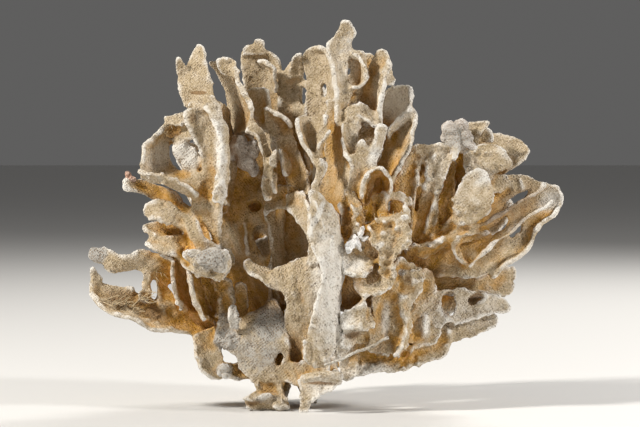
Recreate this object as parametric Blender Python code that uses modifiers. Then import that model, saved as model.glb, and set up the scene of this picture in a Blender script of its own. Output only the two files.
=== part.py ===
"""A bryozoan colony: a bush of flat, fused fronds on a short stalk that is cut off level.

One object is one branch of the colony, split at the main forks, or one growth that sits on a branch.
Units are millimetres until MM brings them to metres. X runs to the right, Y to the back and Z up.
The origin is on the ground, under the middle of the box round the colony.
"""

import bmesh
import bpy
from math import pi, radians
from mathutils import Matrix, Vector

MM = 0.001
WALL = 1.5  # thickness of a frond
GAP = 0.3  # clearance between two branches where they meet
EDGE_SPREAD = 0.1  # how far a frond's long edges stand out past its rails
SHEET_DEPTH = 80.0  # length of the cutters that pierce a frond from front to back
CUTTER_SIDES = 8
GROUND_SIZE = 200.0  # side of the block that levels the stalk at z = 0
MIDDLE_DEPTH = 5.55  # depths are counted from the middle of the front fronds, this far before the colony's middle

SKELETON = (0.66, 0.54, 0.36)
CRUST = (0.56, 0.54, 0.50)
PINK = (0.62, 0.45, 0.35)
CALCITE = (0.78, 0.74, 0.68)


def frond(*stations, holes=()):
    """One ribbon of skeleton. A station is (left x, left z, left y, right x, right z, right y), and a hole is
    (x, z, half width, half height, tilt in degrees), pierced from front to back."""
    return {"stations": stations, "holes": holes}


# Every branch, as the ribbons that it is grown from. Earlier branches keep their shape where two meet.
BRANCHES = {
    "left_spire": [
        # the tall face, from the knee up to its point
        frond((-27.6, 31, -8, -20.6, 30, -8), (-27.4, 35.5, -8, -20.6, 34.5, -9),
              (-27.4, 40, -8, -21, 40, -10), (-26.3, 44, -8, -20.4, 44, -10),
              (-24.2, 49, -8, -20, 49, -10), (-26, 53.2, -7, -20, 53.5, -9),
              (-28.2, 57, -6, -20.5, 57.5, -8), (-28.2, 60.5, -5, -21.4, 61, -6),
              (-29.9, 63.5, -4, -23.1, 63.5, -5), (-29.4, 67, -3, -23.6, 67.3, -4),
              (-27.8, 70, -2, -24.2, 70.3, -3), (-26.1, 73, -1, -25.3, 72.8, -2),
              holes=[(-24.2, 35.6, 1, 2, 25)]),
        # the deep wall behind its bright right rim
        frond((-21.4, 62, -7, -19.9, 60, 1), (-20.4, 57, -10, -19.3, 56, 2),
              (-20.1, 51, -12, -18.6, 51, 3), (-20.5, 45, -12.5, -18.8, 45, 3),
              (-20.9, 41, -12, -20, 40.5, 2)),
        # the plate that runs round the window
        frond((-26.5, 59, -6, -25.8, 53.6, -7), (-30.3, 57.9, -5, -29, 53.6, -6),
              (-33.2, 55.9, -6, -31.2, 52.7, -3), (-36.3, 53, -8, -31.9, 51, -2),
              (-37.3, 48.4, -9, -31.5, 49.1, -2), (-34.8, 45.8, -10.5, -29.5, 47.6, -3),
              (-30.5, 44.5, -10.5, -27.5, 47.8, -5), (-26.3, 43.3, -9, -24.3, 47.6, -8),
              holes=[(-30.4, 54.9, 1.5, 1.1, 20)]),
    ],
    "left_window_lobe": [
        # the pale lobe seen through the window, on its own stem
        frond((-23.5, 38, 3, -19.5, 39, 3), (-25.5, 43, 2, -20.5, 44, 3), (-29.5, 47.5, 1, -23, 47, 3),
              (-31, 50.5, 0.5, -25.6, 50, 2), (-30, 53, 0.5, -26.6, 53, 1.5)),
        frond((-25.2, 41, -0.6, -20.6, 41, 0.2), (-26, 46, 5, -20.5, 46, 6.4),
              (-25.5, 53, 8, -21.5, 53, 9), (-24.8, 58, 9, -22.8, 58, 10)),
    ],
    "left_lobes": [
        # the upper branchlet with the pink growth on its tip
        frond((-26.6, 39.2, -8.6, -28, 36, -8.8), (-30.2, 42.6, -6, -31.5, 38.5, -6),
              (-33.3, 44.6, -5, -34.8, 41.8, -6), (-36.4, 45.6, -5, -36.8, 43.1, -7),
              (-39, 46, -6, -39.3, 43.6, -7), (-40.4, 45.8, -6, -41, 43.9, -7)),
        # the white lobe under it
        frond((-27.6, 38.6, -9, -27.2, 34.6, -8), (-30.4, 41, -9, -30.3, 37.2, -9),
              (-33.6, 42.4, -9, -32.8, 37.6, -10), (-35.4, 41.6, -9, -35, 38.3, -10),
              (-36.3, 40.3, -9, -36, 39.3, -9)),
        # the ear
        frond((-27.6, 34.6, -7, -28.2, 31.6, -8), (-30.8, 35, -8, -31, 31.4, -10),
              (-33.8, 34.8, -8, -33.4, 31.9, -10), (-35.6, 34, -8, -35, 32.8, -9)),
        # the strap from the spire down into the knee
        frond((-28.6, 38.4, -8, -26.4, 39.4, -8.5), (-28.2, 35.6, -9.5, -25.8, 36.4, -10),
              (-26.4, 33, -10.5, -23.6, 34, -10.5), (-23.6, 30.6, -10, -20.6, 32.4, -9.5)),
    ],
    "left_knee": [
        # a crusted shelf that leans out towards the front
        frond((-29.2, 30.2, -8, -28.6, 28.7, -11), (-26.6, 32.4, -9, -25.6, 27.9, -13.5),
              (-23.4, 33.3, -9, -23, 26.9, -14), (-20.6, 32.6, -7, -20.8, 26.2, -12),
              (-18.6, 31, -4, -19, 28.4, -7)),
        # the knee's own stem, down to the base
        frond((-26.6, 30, -8, -20.4, 31, -6), (-25, 25, -4, -20.4, 26, -3), (-23.8, 20, -3, -18, 20, -1),
              (-22, 15, -2, -15, 14, -1)),
    ],
    "left_arm": [
        # the upper arm out to its grey tip
        frond((-30.6, 28.6, -4, -31.6, 21.5, -4), (-34.6, 31.6, -5, -34.6, 24.8, -4.5),
              (-37.4, 32, -5, -36.8, 26.2, -5), (-40.4, 30.5, -5, -39.6, 26.8, -5),
              (-43.3, 31.3, -4, -43.4, 26.4, -5), (-45.5, 32.7, -3.5, -45.8, 28.6, -4),
              (-47.6, 31.8, -3, -47.7, 30.3, -4)),
        # the lower wing, grooved along its length
        frond((-20, 19, -2, -21, 12.5, -3), (-24.6, 18.6, -3, -25.6, 14.9, -4),
              (-28.4, 20, -4, -28.5, 15.5, -6), (-32.4, 22.5, -4, -32, 16.3, -8),
              (-35.5, 23, -4, -34.7, 16.1, -10), (-38.5, 24.2, -4, -38.2, 18.1, -10),
              (-42.5, 25.6, -4, -42, 19.6, -9), (-45.6, 25.8, -4, -45.2, 21.2, -8),
              (-47.2, 24.4, -5, -47.1, 22.8, -7)),
        # the strut and the spur that tie the two together
        frond((-37.6, 27, -5, -33, 27.5, -4.5), (-36.6, 24, -5, -35.7, 24, -5),
              (-37, 21.5, -5, -34.2, 21.4, -5)),
        frond((-34.3, 27.5, -4.6, -30.4, 27.5, -4), (-34, 24, -4.8, -29.8, 23, -4),
              (-34, 20, -5, -28, 19.6, -4)),
        # the curved ochre plate behind the rim strip
        frond((-33.8, 31.4, -8, -32.5, 31, -2), (-30.8, 29.8, -9.5, -29, 30, -2),
              (-30.6, 26.5, -9, -28, 26.8, 0), (-29.8, 22.5, -7, -27, 23, 2),
              (-28, 19, -5, -25, 18.8, 2)),
        # the bright rod and the lens behind it
        frond((-27.3, 28, -9, -24.8, 27.4, -2), (-27, 25, -9.5, -22.6, 24.6, -1),
              (-25.8, 21.4, -9, -22.3, 20.4, 0), (-24.5, 18, -8, -22.6, 18, -1)),
    ],
    "left_foot_lobe": [
        # the rounded lobe that hangs below the arm
        frond((-27, 14.8, -6, -21.6, 17, -5), (-26.7, 12.6, -7.5, -21, 12.6, -6),
              (-26, 10.4, -8.5, -20.9, 10.4, -7), (-25, 8.3, -8.5, -20.5, 8.6, -7),
              (-23.2, 6.3, -8, -20.6, 6.1, -7)),
        frond((-21.2, 9.4, -7.5, -22, 6.2, -7), (-19.2, 9, -7, -19, 6.1, -7),
              (-17, 9.2, -3, -16.6, 6.5, -6), (-14, 10, -3, -13.6, 6.4, -6)),
    ],
    "net_foot": [
        # the sheet with the net crust, and the tongue above it
        frond((-16.6, 6.4, -8, -9.6, 6, -8), (-21.2, 11, -7, -10.4, 10, -8.5),
              (-21.8, 14.6, -6, -8, 13.4, -9), (-18.4, 16.4, -6, -9.2, 16.6, -7),
              (-14.4, 18.4, -5, -10, 19, -5), (-12.4, 20.8, -3.5, -10.2, 21.6, -3)),
        # the right strut with the hole beside it
        frond((-10.6, 14, -8.5, -7.6, 13.6, -8), (-8.9, 10, -8.5, -7.7, 10, -7),
              (-11, 6.4, -8.5, -7.5, 6, -7)),
        # the foot
        frond((-15, 7, -8, -7.6, 6.6, -7.5), (-15.2, 4, -8, -7.9, 3.8, -7.5),
              (-16.8, 2.2, -8.5, -7.7, 1.8, -8), (-14.6, -1, -8, -7.6, -1, -8)),
        frond((-14.8, 8, -8, -8, 8, 5), (-14.4, 4, -8, -8.4, 4, 5), (-14.4, -1, -8, -8, -1, 6)),
    ],
    "inner_lobes": [
        # small lobes between the knee and the foot
        frond((-23.4, 15.6, -7.5, -17, 15, -8.6), (-23.2, 19.6, -7.5, -19.6, 19.4, -7.6),
              (-22.9, 22.4, -8, -19.4, 22.4, -7), (-22.4, 24.7, -7.5, -20.2, 24.4, -7)),
        frond((-19, 15.2, -8.2, -17.4, 15.2, -8.4), (-19.4, 18.4, -10, -17.3, 18.6, -9),
              (-18.9, 20.8, -9.5, -18, 20.8, -9)),
    ],
    "inner_left": [
        # the wide recessed sheet
        frond((-20.5, 16, 4, -9, 16, 0), (-21.4, 24, 3, -10, 25, 0), (-22, 30, 3, -10.4, 30, -1),
              (-22.2, 36, 3, -11.4, 36, -1), (-21.4, 41, 4, -10, 41, 0), (-21, 46, 4, -12.6, 45, 4),
              (-20.6, 51, 4, -14.2, 50, 4), (-19.6, 55.5, 4, -15, 55, 1),
              holes=[(-13.4, 33.5, 1.3, 3.3, 12), (-14.4, 40.2, 1.2, 1.1, 0)]),
        # the brown frond that curls up to the left, its bright rim in front
        frond((-19.4, 54, 4, -15.6, 55.6, -6), (-19.3, 58, 4, -14.7, 59, -7),
              (-19.6, 61.5, 4, -15.7, 62, -7), (-20.6, 65, 3, -17.4, 65.4, -6),
              (-22.2, 67.6, 2, -18.5, 68.4, -4), (-23.9, 69.3, 1, -21.5, 69.4, -1)),
        frond((-12.4, 39, -2, -10.4, 41, 2), (-12, 34, -4, -10, 34.5, 3), (-11.8, 29, -5, -9.4, 29, 3),
              (-11, 24, -5, -8, 24, 2)),
        # the pale leaf low on the left of the sheet
        frond((-18.4, 15.6, 2.6, -15, 15.6, 2), (-18.8, 19.5, -2.6, -15.9, 20, -2),
              (-18.9, 25.2, -4, -16.3, 25.4, -3)),
    ],
    "arch_back": [
        # the dark wall seen through the big arch
        frond((-10, 20, 4, -1, 20, 4), (-10.4, 28, 5, -1, 28, 4), (-10, 35, 6, -1, 35, 5),
              (-9, 43, 5, -1.6, 43, 3)),
    ],
    "front_trunk": [
        # the smooth face over the dark mouth, with its arched rim
        frond((-7.6, 11, -7, -3.4, 11, -10), (-9, 16.4, -8, -3, 16, -12), (-8, 20, -9.5, -2, 20, -13),
              (-8.8, 23, -10, -0.4, 24, -14), (-12, 26.3, -9, -0.6, 28.4, -13),
              (-10.6, 28.4, -6, -3.6, 32, -11)),
        # the big arch's right side and the pale fold on it
        frond((-3.6, 28.6, -12, -0.6, 30, -14), (-3.6, 33, -11, 0, 33, -14),
              (-7, 38.4, -8, -2.4, 37, -13), (-8, 40.4, -5, -3.4, 41, -10), (-8.4, 43, -3, -4.6, 44, -6)),
        # the brow over the arch
        frond((-12.6, 38.4, -2, -12.2, 42, 0), (-9.2, 40.4, -3, -9.6, 45, -1),
              (-6.6, 39.6, -5, -5.4, 44.6, -4)),
    ],
    "front_blade": [
        # the nearest and brightest blade
        frond((-3, 9, -16, 0.6, 9.4, -15.5), (-5, 11, -16, 1.8, 12.4, -14), (-4.2, 15, -17, 3.3, 16, -13),
              (-3.4, 19.4, -18, 1.7, 20, -14), (-2.3, 24, -18, 2.2, 24, -13.5),
              (-1.7, 28.4, -18, 3.5, 28.4, -12.5), (-3.4, 33, -16.5, 2.7, 33, -12),
              (-3.5, 37, -16, 2.6, 36.4, -12), (-3.1, 40.4, -16, 1, 39.6, -13),
              (-3.7, 43.4, -15.5, -1, 42.4, -14)),
        # the wall that it folds back into on the right
        frond((2.2, 14, -13, 1, 15, -5), (1.7, 20, -14, 0.6, 20, -4), (2.2, 25, -13, 1.4, 25, -3),
              (2.8, 31, -12, 1.6, 31, -3), (2.4, 36.6, -12, 0.6, 37, -3), (0.8, 40.4, -12, -0.6, 41, -4)),
        # the twig above its tip
        frond((-3.7, 42.6, -15, -2, 42.4, -14), (-2.6, 45.6, -13, -1.4, 45.4, -12),
              (-2, 48.6, -12, -0.6, 48.2, -11), (-1.4, 50.2, -11.5, 0, 49.7, -10.5)),
        # the folded cup over the twig: left limb, back, right limb
        frond((-2.6, 48.6, -12, -0.9, 48.8, -10.6), (-3, 50.6, -12, -1.4, 51, -9),
              (-4.3, 52.4, -12, -2.9, 53.2, -8), (-5.4, 55.4, -12, -3.7, 55.6, -7),
              (-5.7, 58.3, -11, -4.3, 58.8, -6)),
        frond((-3.4, 50.4, -9.5, -1, 50.6, -9), (-3.8, 53, -8, -2, 53.2, -9),
              (-4.6, 55.6, -7, -1, 55.8, -8), (-5, 58.2, -6, -0.3, 58.4, -8)),
    ],
    "crown_left": [
        # the tall back plate
        frond((-16, 56, 8, -9, 56, 7), (-16.4, 62, 8, -9.4, 61, 7), (-17.2, 67, 8, -9.2, 65.6, 6),
              (-17.4, 70.6, 8, -9.4, 69.6, 6.5), (-17.5, 72.3, 8, -10, 71.6, 7),
              (-15.8, 73.6, 8, -13, 73.5, 8)),
        # the broad brown face to its right, with a white knob on top
        frond((-9, 46, 2, -3, 46, -2), (-8.4, 52, 3, -4.6, 52, 0), (-9, 57, 4, -4.2, 57, 2),
              (-10, 62, 5, -3.8, 62, 4), (-9.6, 66, 6, -3.9, 66.4, 5), (-7.4, 69.8, 5, -4.6, 70.8, 4)),
        frond((-8, 66, 6, -4.9, 66.6, 5), (-7.2, 69.6, 3.5, -4.9, 70, 3.5), (-6.4, 70.7, 3, -5, 71, 3)),
    ],
    "near_rim": [
        # the near rim that runs down from the brown frond to two prongs
        frond((-16.8, 55.8, -7.5, -14.4, 57.6, -6), (-14.6, 55.2, -8, -12.9, 55.9, -5),
              (-13.6, 52.6, -8, -12.3, 53, -5), (-13, 50.4, -8, -10.4, 50, -6),
              (-12.5, 47.4, -7, -9.8, 47, -6), (-12.4, 45, -6.5, -11.3, 45, -5),
              (-13, 42.4, -6, -11.6, 42.4, -4)),
    ],
    "cup_plate": [
        # the small cup plate
        frond((-12.6, 55, -0.6, -9.4, 55, -0.6), (-14.8, 58, 1, -11, 58.6, -1),
              (-15.6, 61, 2, -11.4, 61, -1), (-16.6, 64.1, 3, -11.6, 64.2, 0)),
        # the ochre plate below the cup
        frond((-12.2, 59.8, -2, -8.6, 58.4, 0), (-12.6, 57, -1, -7.4, 55.8, 0),
              (-10.6, 53.4, -1, -6, 52.4, -1), (-9, 50, -1, -4.4, 48.6, -3),
              (-8.2, 45.6, -2, -3.2, 44, -5), (-8, 41, -3, -3.4, 40.6, -7)),
    ],
    "crown_centre": [
        # the crown blade
        frond((-3.6, 50, 2, 0.4, 50, -2), (-3.7, 56, 3, 1.6, 56, -3), (-3.9, 61, 3, 2.2, 61, -4),
              (-4, 66, 4, 1.8, 66, -3), (-4.6, 70, 4, 1.6, 69.4, -2), (-4.6, 72.1, 4, -0.4, 71.7, 1)),
        # the long ochre channel below it
        frond((0.2, 62, -1, 2.4, 62, -5), (-0.2, 56, -1, 3.2, 56, -6), (-0.4, 51, -2, 4, 51, -8),
              (-0.8, 46, -3, 4.4, 46, -9), (-2, 41.6, -4, 3.6, 41.6, -9), (-2, 36, -4, 3, 36, -9)),
        # the tall spire and its rim
        frond((1.8, 56, -8, 3.6, 56, -5), (1.8, 60.4, -7, 4.2, 60.4, -4.5),
              (1.9, 64, -6.5, 5.1, 63.6, -4.5), (1.4, 66.6, -6, 3.9, 67, -4),
              (0.6, 69.4, -5, 4.1, 70, -3.5), (0, 72.6, -4, 5, 72, -3), (1.3, 74.2, -3.5, 4.6, 74, -3),
              (2.2, 75.6, -3, 5.8, 75.5, -2.5), (2.6, 78, -3, 4.2, 77.9, -3)),
    ],
    "crown_right": [
        # the ring: its back wall, its rim and two white lobes
        frond((2.8, 61, -2, 6, 61, -2), (3.6, 64.6, -2, 7.2, 64.4, -2), (3.5, 68, -2, 7.8, 68, -2),
              (4, 71.6, -2, 7.2, 71, -2)),
        frond((7.2, 61.6, 0.6, 9.4, 61.6, -2.4), (7.2, 67.6, 2, 9.7, 67, 0.6),
              (7.4, 71.4, 2.6, 9.7, 70.8, 2)),
        # the blade with the white right rim
        frond((8.2, 55, 0, 10.4, 55.6, -6), (8.4, 58.4, 1, 10.3, 58.4, -7),
              (6.6, 61.4, 1, 10.7, 61.4, -7), (5.6, 64.2, 1, 11.3, 65, -6.5),
              (8.2, 67.2, 1, 12.3, 68, -5), (9, 70.2, 0.5, 12.3, 70.4, -3.5),
              (10, 71.7, 0, 11.8, 71.9, -2)),
        # the next blade out
        frond((9.8, 52, 2, 12.4, 53, -1), (10.6, 56, 2, 13, 56.4, -2), (10.2, 58.8, 2, 15.4, 59.4, -3.5),
              (10.8, 61.4, 3, 17, 61.4, -4), (12.2, 64.2, 3, 17.2, 63.4, -3),
              (14.8, 64.2, 1, 16.8, 64.3, -2)),
        # the outermost blade, with the slit along it
        frond((11.2, 43, -5, 12.4, 43.4, -8.5), (11.4, 46.8, -3, 13.7, 47, -8),
              (10.9, 49.6, -2, 15.2, 49.6, -7.5), (11.5, 52.4, -1, 17, 52.4, -7),
              (14.4, 55, -1, 17.4, 55.6, -6), (16, 58, -1, 18.1, 58.2, -5),
              (16.2, 60.2, -2, 17.4, 60.4, -4)),
        # the crusty web round the lens
        frond((4.6, 58.4, -6.5, 6.2, 61.7, -5.5), (8, 57.6, -7, 9, 59.4, -5),
              (9.8, 56.2, -7, 10.8, 57.6, -6)),
        frond((3.8, 60.4, -6, 6.8, 60.6, -6), (4, 57, -7, 6.9, 57, -6), (4.2, 54, -8, 5.9, 54.2, -7),
              (4.4, 50.6, -8.5, 6.2, 51.2, -8)),
        frond((5, 50, -4, 9.4, 50, -4), (5.2, 53.6, -3, 10, 53.6, -3), (6, 57.6, -3, 10.4, 57.4, -3)),
        frond((7, 48.4, -9, 9.9, 48.6, -9), (7.8, 51.4, -10, 10.7, 52, -9),
              (9.4, 54, -10.5, 11.7, 54.6, -9), (10.4, 57, -10, 12, 56.8, -9)),
        # the cream body and the hook below the fingers
        frond((3.6, 41, -8, 7, 41, -8), (4, 44.6, -9.5, 8, 44.6, -9.5), (4.4, 48, -10, 9, 47.6, -10),
              (5, 51.4, -9.5, 9.6, 50.6, -9.5)),
        frond((6.5, 41, -9, 7.9, 41, -5), (7, 44.8, -11, 8.6, 44.5, -6), (8.8, 47.8, -12, 9.2, 46.3, -6),
              (11, 48, -11.5, 10.8, 46.5, -6), (12.8, 46.2, -10.5, 11.7, 45.2, -6),
              (12.4, 43.6, -10, 11.4, 43.4, -6)),
        frond((6.6, 37, -3, 9.8, 37, -3), (6.8, 41, -3, 11.2, 41, -2.5),
              (8.4, 45.4, -3, 12.2, 45.4, -2.5), (9, 49, -2, 12, 49, -2)),
    ],
    "right_web": [
        # the bar and its strut
        frond((8.6, 42.8, -7.5, 8.8, 41.1, -7.5), (11.6, 43.9, -8, 11.8, 42.2, -8),
              (14.6, 43.2, -8, 14.4, 41.6, -8), (17, 42, -6, 16.4, 40.6, -6)),
        frond((10.8, 42.6, -8, 12.2, 42.8, -8), (10, 38.4, -9, 11.6, 38.2, -9)),
        # the crumbly plate and its column
        frond((9.6, 26, -11, 13.4, 26, -11), (9.8, 29, -11.5, 13.4, 29.4, -11.5),
              (9, 32.4, -11, 13.8, 32.6, -12), (8.2, 34.4, -10, 17, 34.5, -12),
              (7.9, 36.6, -9.5, 15.9, 36.4, -12), (8, 38.4, -9, 16.2, 38.6, -12)),
        # the crumbly pillar to its left
        frond((3.4, 44, -9.5, 6, 43.6, -9), (4.4, 40.4, -11, 7.2, 39.8, -9.5),
              (4.8, 36.6, -12, 7.6, 36.4, -10), (3.8, 33.4, -12.5, 8, 33, -11),
              (4.6, 29.6, -12, 8.6, 29.4, -11), (6, 26, -12, 10.4, 26, -11)),
        # the horseshoe ledge
        frond((5, 28.4, -12.5, 6.8, 28.4, -12), (5.2, 25.4, -14, 7.2, 26, -13),
              (6.8, 22.8, -15.5, 8, 25.2, -13.5), (10, 23.4, -15, 10, 25.8, -13),
              (12.8, 25, -14, 12, 27.2, -12.5), (13.9, 27.6, -13, 12.6, 29, -12)),
    ],
    "web_back": [
        # the deep ochre wall behind the web
        frond((1.6, 19, -3, 14, 19, -3), (2, 26, -3, 14.6, 26, -2), (2.4, 33, -4, 15.6, 33, -2),
              (2, 40, -4, 16, 40, -1)),
    ],
    "right_ridge": [
        # the crumbly lump and the ridge that winds down from it
        frond((13.6, 30.4, -10, 16.6, 29.4, -9), (13.5, 27.6, -11, 18.9, 27.8, -10),
              (13.3, 25.2, -11.5, 19.3, 24.5, -10), (14, 22.8, -12, 17.2, 22.8, -10.5),
              (14.7, 20.2, -12, 16.1, 20, -9), (15.6, 17.8, -12.5, 17.2, 17.2, -9),
              (14.8, 14.2, -13, 16, 14.6, -9), (13.4, 10.8, -13.5, 14.2, 11, -9)),
        # the two ochre walls it stands on
        frond((8.6, 13, -10, 15, 12, -8), (9, 17.4, -9, 15.2, 17, -8), (9.2, 21, -8, 15, 21, -8),
              (9.6, 24.6, -8, 13.8, 25, -8)),
        frond((14.6, 14, -8, 22, 14, -3), (15, 18, -8, 23, 18, -2), (15, 23, -8, 22, 23, -2),
              (14, 28, -8, 21, 28, -2)),
    ],
    "front_triangle": [
        # the triangular plate in front
        frond((2.2, 19.4, -14, 2.6, 16.4, -15), (4.8, 20.6, -15, 4.8, 16.2, -16),
              (7, 22.3, -15, 7.2, 16, -15.5), (8.2, 20.6, -13.5, 9.6, 17.2, -13)),
        frond((2, 13, -14, 3.4, 16.6, -15), (4, 12.8, -14, 5, 16.6, -14), (8, 14.4, -11, 8.6, 17, -12)),
    ],
    "ragged_leaf": [
        # the leaf beside the crown, and the ragged bridge on its top
        frond((11.6, 36, -3, 17, 34, -4), (12.4, 42, -4, 17.4, 41, -4.5), (14, 46.4, -4, 18, 45.4, -4),
              (15.4, 49.4, -3.5, 18.3, 49.4, -3.5), (16.8, 52.4, -3, 20.4, 51.6, -3)),
        frond((17, 52.5, -4, 17.8, 50.4, -3), (20, 52.8, -4, 20, 50.5, -3),
              (22.6, 53.1, -4, 22.8, 50.6, -3), (25.8, 52.4, -4, 25.4, 50.6, -3)),
        # the pale plate beyond the slot
        frond((17, 38, -2, 22, 38, -3), (18.9, 43, -2, 22.4, 42.6, -3), (19.6, 47, -2.5, 23, 46.8, -3),
              (19.9, 51, -3, 24.6, 50.6, -3)),
    ],
    "right_inner_fan": [
        # the ochre channel and its upper lobes
        frond((17, 34, 1, 26, 34, 0), (20, 41, 1, 27, 40, 0), (22, 46, 1, 28.4, 45.6, 0),
              (24.6, 50, 0, 29.4, 49.6, -1), (26, 53.6, 0, 30.4, 53.4, -1)),
        # the horn under the grey crust, and the lobe beside it
        frond((23.2, 51.6, -1, 28.6, 51, -1), (23.3, 54.6, -1, 30.4, 54, -1), (25, 57, -1, 31, 55.6, -2),
              (28.6, 57.1, -1, 32.6, 56.8, -2), (31.4, 57.9, -2, 32.8, 57.7, -2)),
    ],
    "back_leaf": [
        # the brown back leaf
        frond((29, 51, 4, 31, 45, 4), (32, 54.6, 4, 34.6, 46.6, 3), (35.4, 55.1, 4, 37, 47.6, 2),
              (38.2, 54.3, 4, 39, 49.3, 1.5), (39.9, 53.5, 4, 41.2, 51, 2)),
    ],
    "speckled_leaf": [
        # the speckled leaf in front of it
        frond((26.8, 50.6, -3, 28.4, 46.4, -3), (30.4, 53.9, -4, 32.4, 46, -3),
              (33.6, 52.3, -4, 34.2, 46.9, -3), (36, 50.4, -4, 36, 48, -3),
              (37.2, 49.3, -4, 36.8, 48.4, -3)),
        # the white patch that joins it to the outer plate
        frond((29.4, 49, -3.6, 30.4, 45.4, -3.6), (33, 47, -2, 33, 42.6, -3),
              (36.6, 47, -1, 36, 43.4, -1)),
    ],
    "round_disc": [
        # the round pale disc
        frond((20, 32, -5, 23.5, 30.6, -5), (24.4, 38.4, -6, 28.2, 36.6, -8),
              (25.6, 43, -7, 31.6, 39.5, -9), (26.8, 46.4, -7, 33.3, 42.6, -9),
              (28.8, 48, -7, 32, 45.4, -8)),
    ],
    "right_outer_fan": [
        # the long outer plate, pierced by three slots
        frond((14, 32, -2, 17, 26, -2), (20, 35.4, -2, 24, 26.4, -3), (26, 38.6, -2, 30, 26.6, -4),
              (31.4, 42, -1, 35.6, 28.2, -4), (36.2, 47.1, 0, 40.4, 31.8, -3),
              (40.2, 46.4, 1, 42, 36, -1), (43.4, 45, 1, 44.6, 38.2, 0), (46.5, 44.5, 1, 47.8, 41.4, 1)),
        # its bright lower rim, turned outwards
        frond((33.2, 25.6, -4, 31.6, 28, -2), (35.4, 28.5, -5.5, 34.4, 30, -2.5),
              (38.2, 30, -5, 37, 31.4, -2), (40.3, 32.2, -4.5, 39, 33, -1),
              (41.4, 35.3, -3.5, 40.2, 35.6, 0), (44.4, 38.2, -2.5, 43.4, 39, 1),
              (47, 40.3, -1.5, 46, 41, 1.5)),
        # the folded rim over the small hollow
        frond((29, 28.4, -4, 30.4, 29, -3), (26, 30.6, -6, 27.6, 29, -4), (24.6, 33.8, -7, 26.2, 33, -5),
              (28.2, 34.7, -6, 28.6, 33.4, -4), (32.6, 35.8, -4, 33.2, 34.6, -2)),
    ],
    "torn_plate": [
        # the upper torn plate
        frond((20, 27.8, -1, 19, 22, -2), (26, 26.4, -1, 25.4, 22.4, -2), (31, 26.2, 0, 30.6, 22.4, -1),
              (34.6, 27.4, 1, 34.6, 22.2, 0), (38.2, 28.5, 2, 38, 22.7, 1)),
    ],
    "right_skirt": [
        # the middle and lower torn plates
        frond((20, 23, -4, 20.5, 16, -6), (23.4, 23.6, -4, 24, 17, -6), (28, 24, -3.4, 28, 17.4, -5),
              (32, 23.4, -2.6, 31.6, 18.8, -4), (35.5, 21.8, -2, 35, 19.4, -3),
              (36.5, 20.4, -2, 36.1, 19.6, -2), holes=[(24.1, 20.8, 1.1, 1.9, 10)]),
        frond((22, 18.4, -3, 24.6, 13.7, -4), (27, 18.4, -2.4, 27.6, 13.6, -4),
              (31, 19, -1.4, 31, 15.4, -3), (34, 18.6, -1, 33.7, 16.3, -2)),
        # the big front bowl and its lip
        frond((1.6, 12.6, -11, 3.2, 5.8, -10), (6, 14, -10, 5.8, 7.4, -11), (10, 15, -8.5, 9.6, 7.8, -11),
              (14.6, 16, -6.5, 15, 7.4, -10), (19, 17, -5, 19.4, 9.6, -8), (22.6, 17, -4, 23, 10.3, -6),
              (25, 15.4, -4, 24.5, 12.4, -5)),
        frond((9.6, 11.4, -10.6, 9.6, 8.4, -2), (15.6, 12, -9.2, 15.6, 9, 0),
              (21, 14, -6.4, 21.6, 11.6, 2)),
    ],
    "front_foot": [
        # the short second foot, and the flat stub on it
        frond((-5.4, 7.4, -12, -4.9, 1.2, -12), (-3, 7.6, -12.5, -2.8, 2.2, -12.5),
              (0, 7.8, -12, 0, 3.8, -12), (3, 8, -11, 2.6, 5.4, -11)),
        frond((-7.8, 13, -6, -7.8, 5, -6), (-5.4, 12, -8, -5.2, 5, -8), (-2, 11, -10, -2, 5, -11),
              (2, 11, -10, 2.4, 6, -11)),
        # a hidden wall that carries the trunk down
        frond((-4.6, 13, -9, -4, 13, 4), (-4.6, 8, -9, -4.4, 8, 6), (-4.6, 3.4, -11.6, -4.4, 3.4, 7)),
        frond((-5, 7, -12, -0.4, 7, -12), (-4.8, 3.4, -12, -1, 3.4, -12), (-4.9, -1, -12, -2.2, -1, -12)),
    ],
    "rear_trunk": [
        # the back of the stalk, down to the cut
        frond((-13.4, 30, 9, -2, 32, 13), (-13.6, 20, 8, 1.6, 20, 12), (-14, 10, 7, 2, 10, 11),
              (-14.4, 4, 8, 2.2, 5, 12), (-14.2, -1, 9, 2.4, -1, 13)),
        frond((-11.6, 26, 0, -11, 26, 12), (-11, 14, -2, -11, 14, 12), (-10.6, 4, -2, -10.6, 4, 12),
              (-10.6, -1, -1, -10.6, -1, 12)),
        frond((-2.6, 26, -1, -1.4, 27, 13), (-1.6, 14, -3, -0.6, 14, 14), (-1, 6, -4, 0, 6, 14),
              (-0.8, 4, 4, 0.2, -1, 5), (-0.6, -1, 10, 0.6, -1, 15)),
    ],
    "rear_left": [
        # the stem that leans out behind the knee
        frond((-13, 9, 9, -6, 12, 14), (-17, 19, 12, -9.6, 21, 17), (-20.6, 31, 13, -12.6, 32, 19),
              (-22.6, 41, 14, -15.6, 42, 20), (-23.4, 50, 15, -18, 51, 21),
              (-24.6, 56, 16, -20.6, 57, 20)),
        # its inner branch
        frond((-18.6, 44, 17, -13, 43, 19), (-17, 52, 18, -11.6, 51, 21), (-16, 59, 18, -10.6, 58, 21),
              (-15.2, 66, 17, -10.4, 65, 19), (-14.2, 71, 16, -12, 70.4, 17)),
        # a plate along its length that faces the side
        frond((-18, 17, 2, -19, 16, 12), (-22, 26, 3, -24, 25, 14), (-23.6, 35, 4, -26.4, 36, 15),
              (-22.6, 45, 6, -25.6, 46, 17), (-21.4, 54, 7, -23.4, 55, 14)),
    ],
    "rear_centre": [
        # the tallest stem at the back
        frond((-4.4, 22, 12, 2.6, 22, 15), (-4.6, 32, 15, 4, 32, 18), (-3.6, 42, 18, 5, 42, 21),
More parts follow.
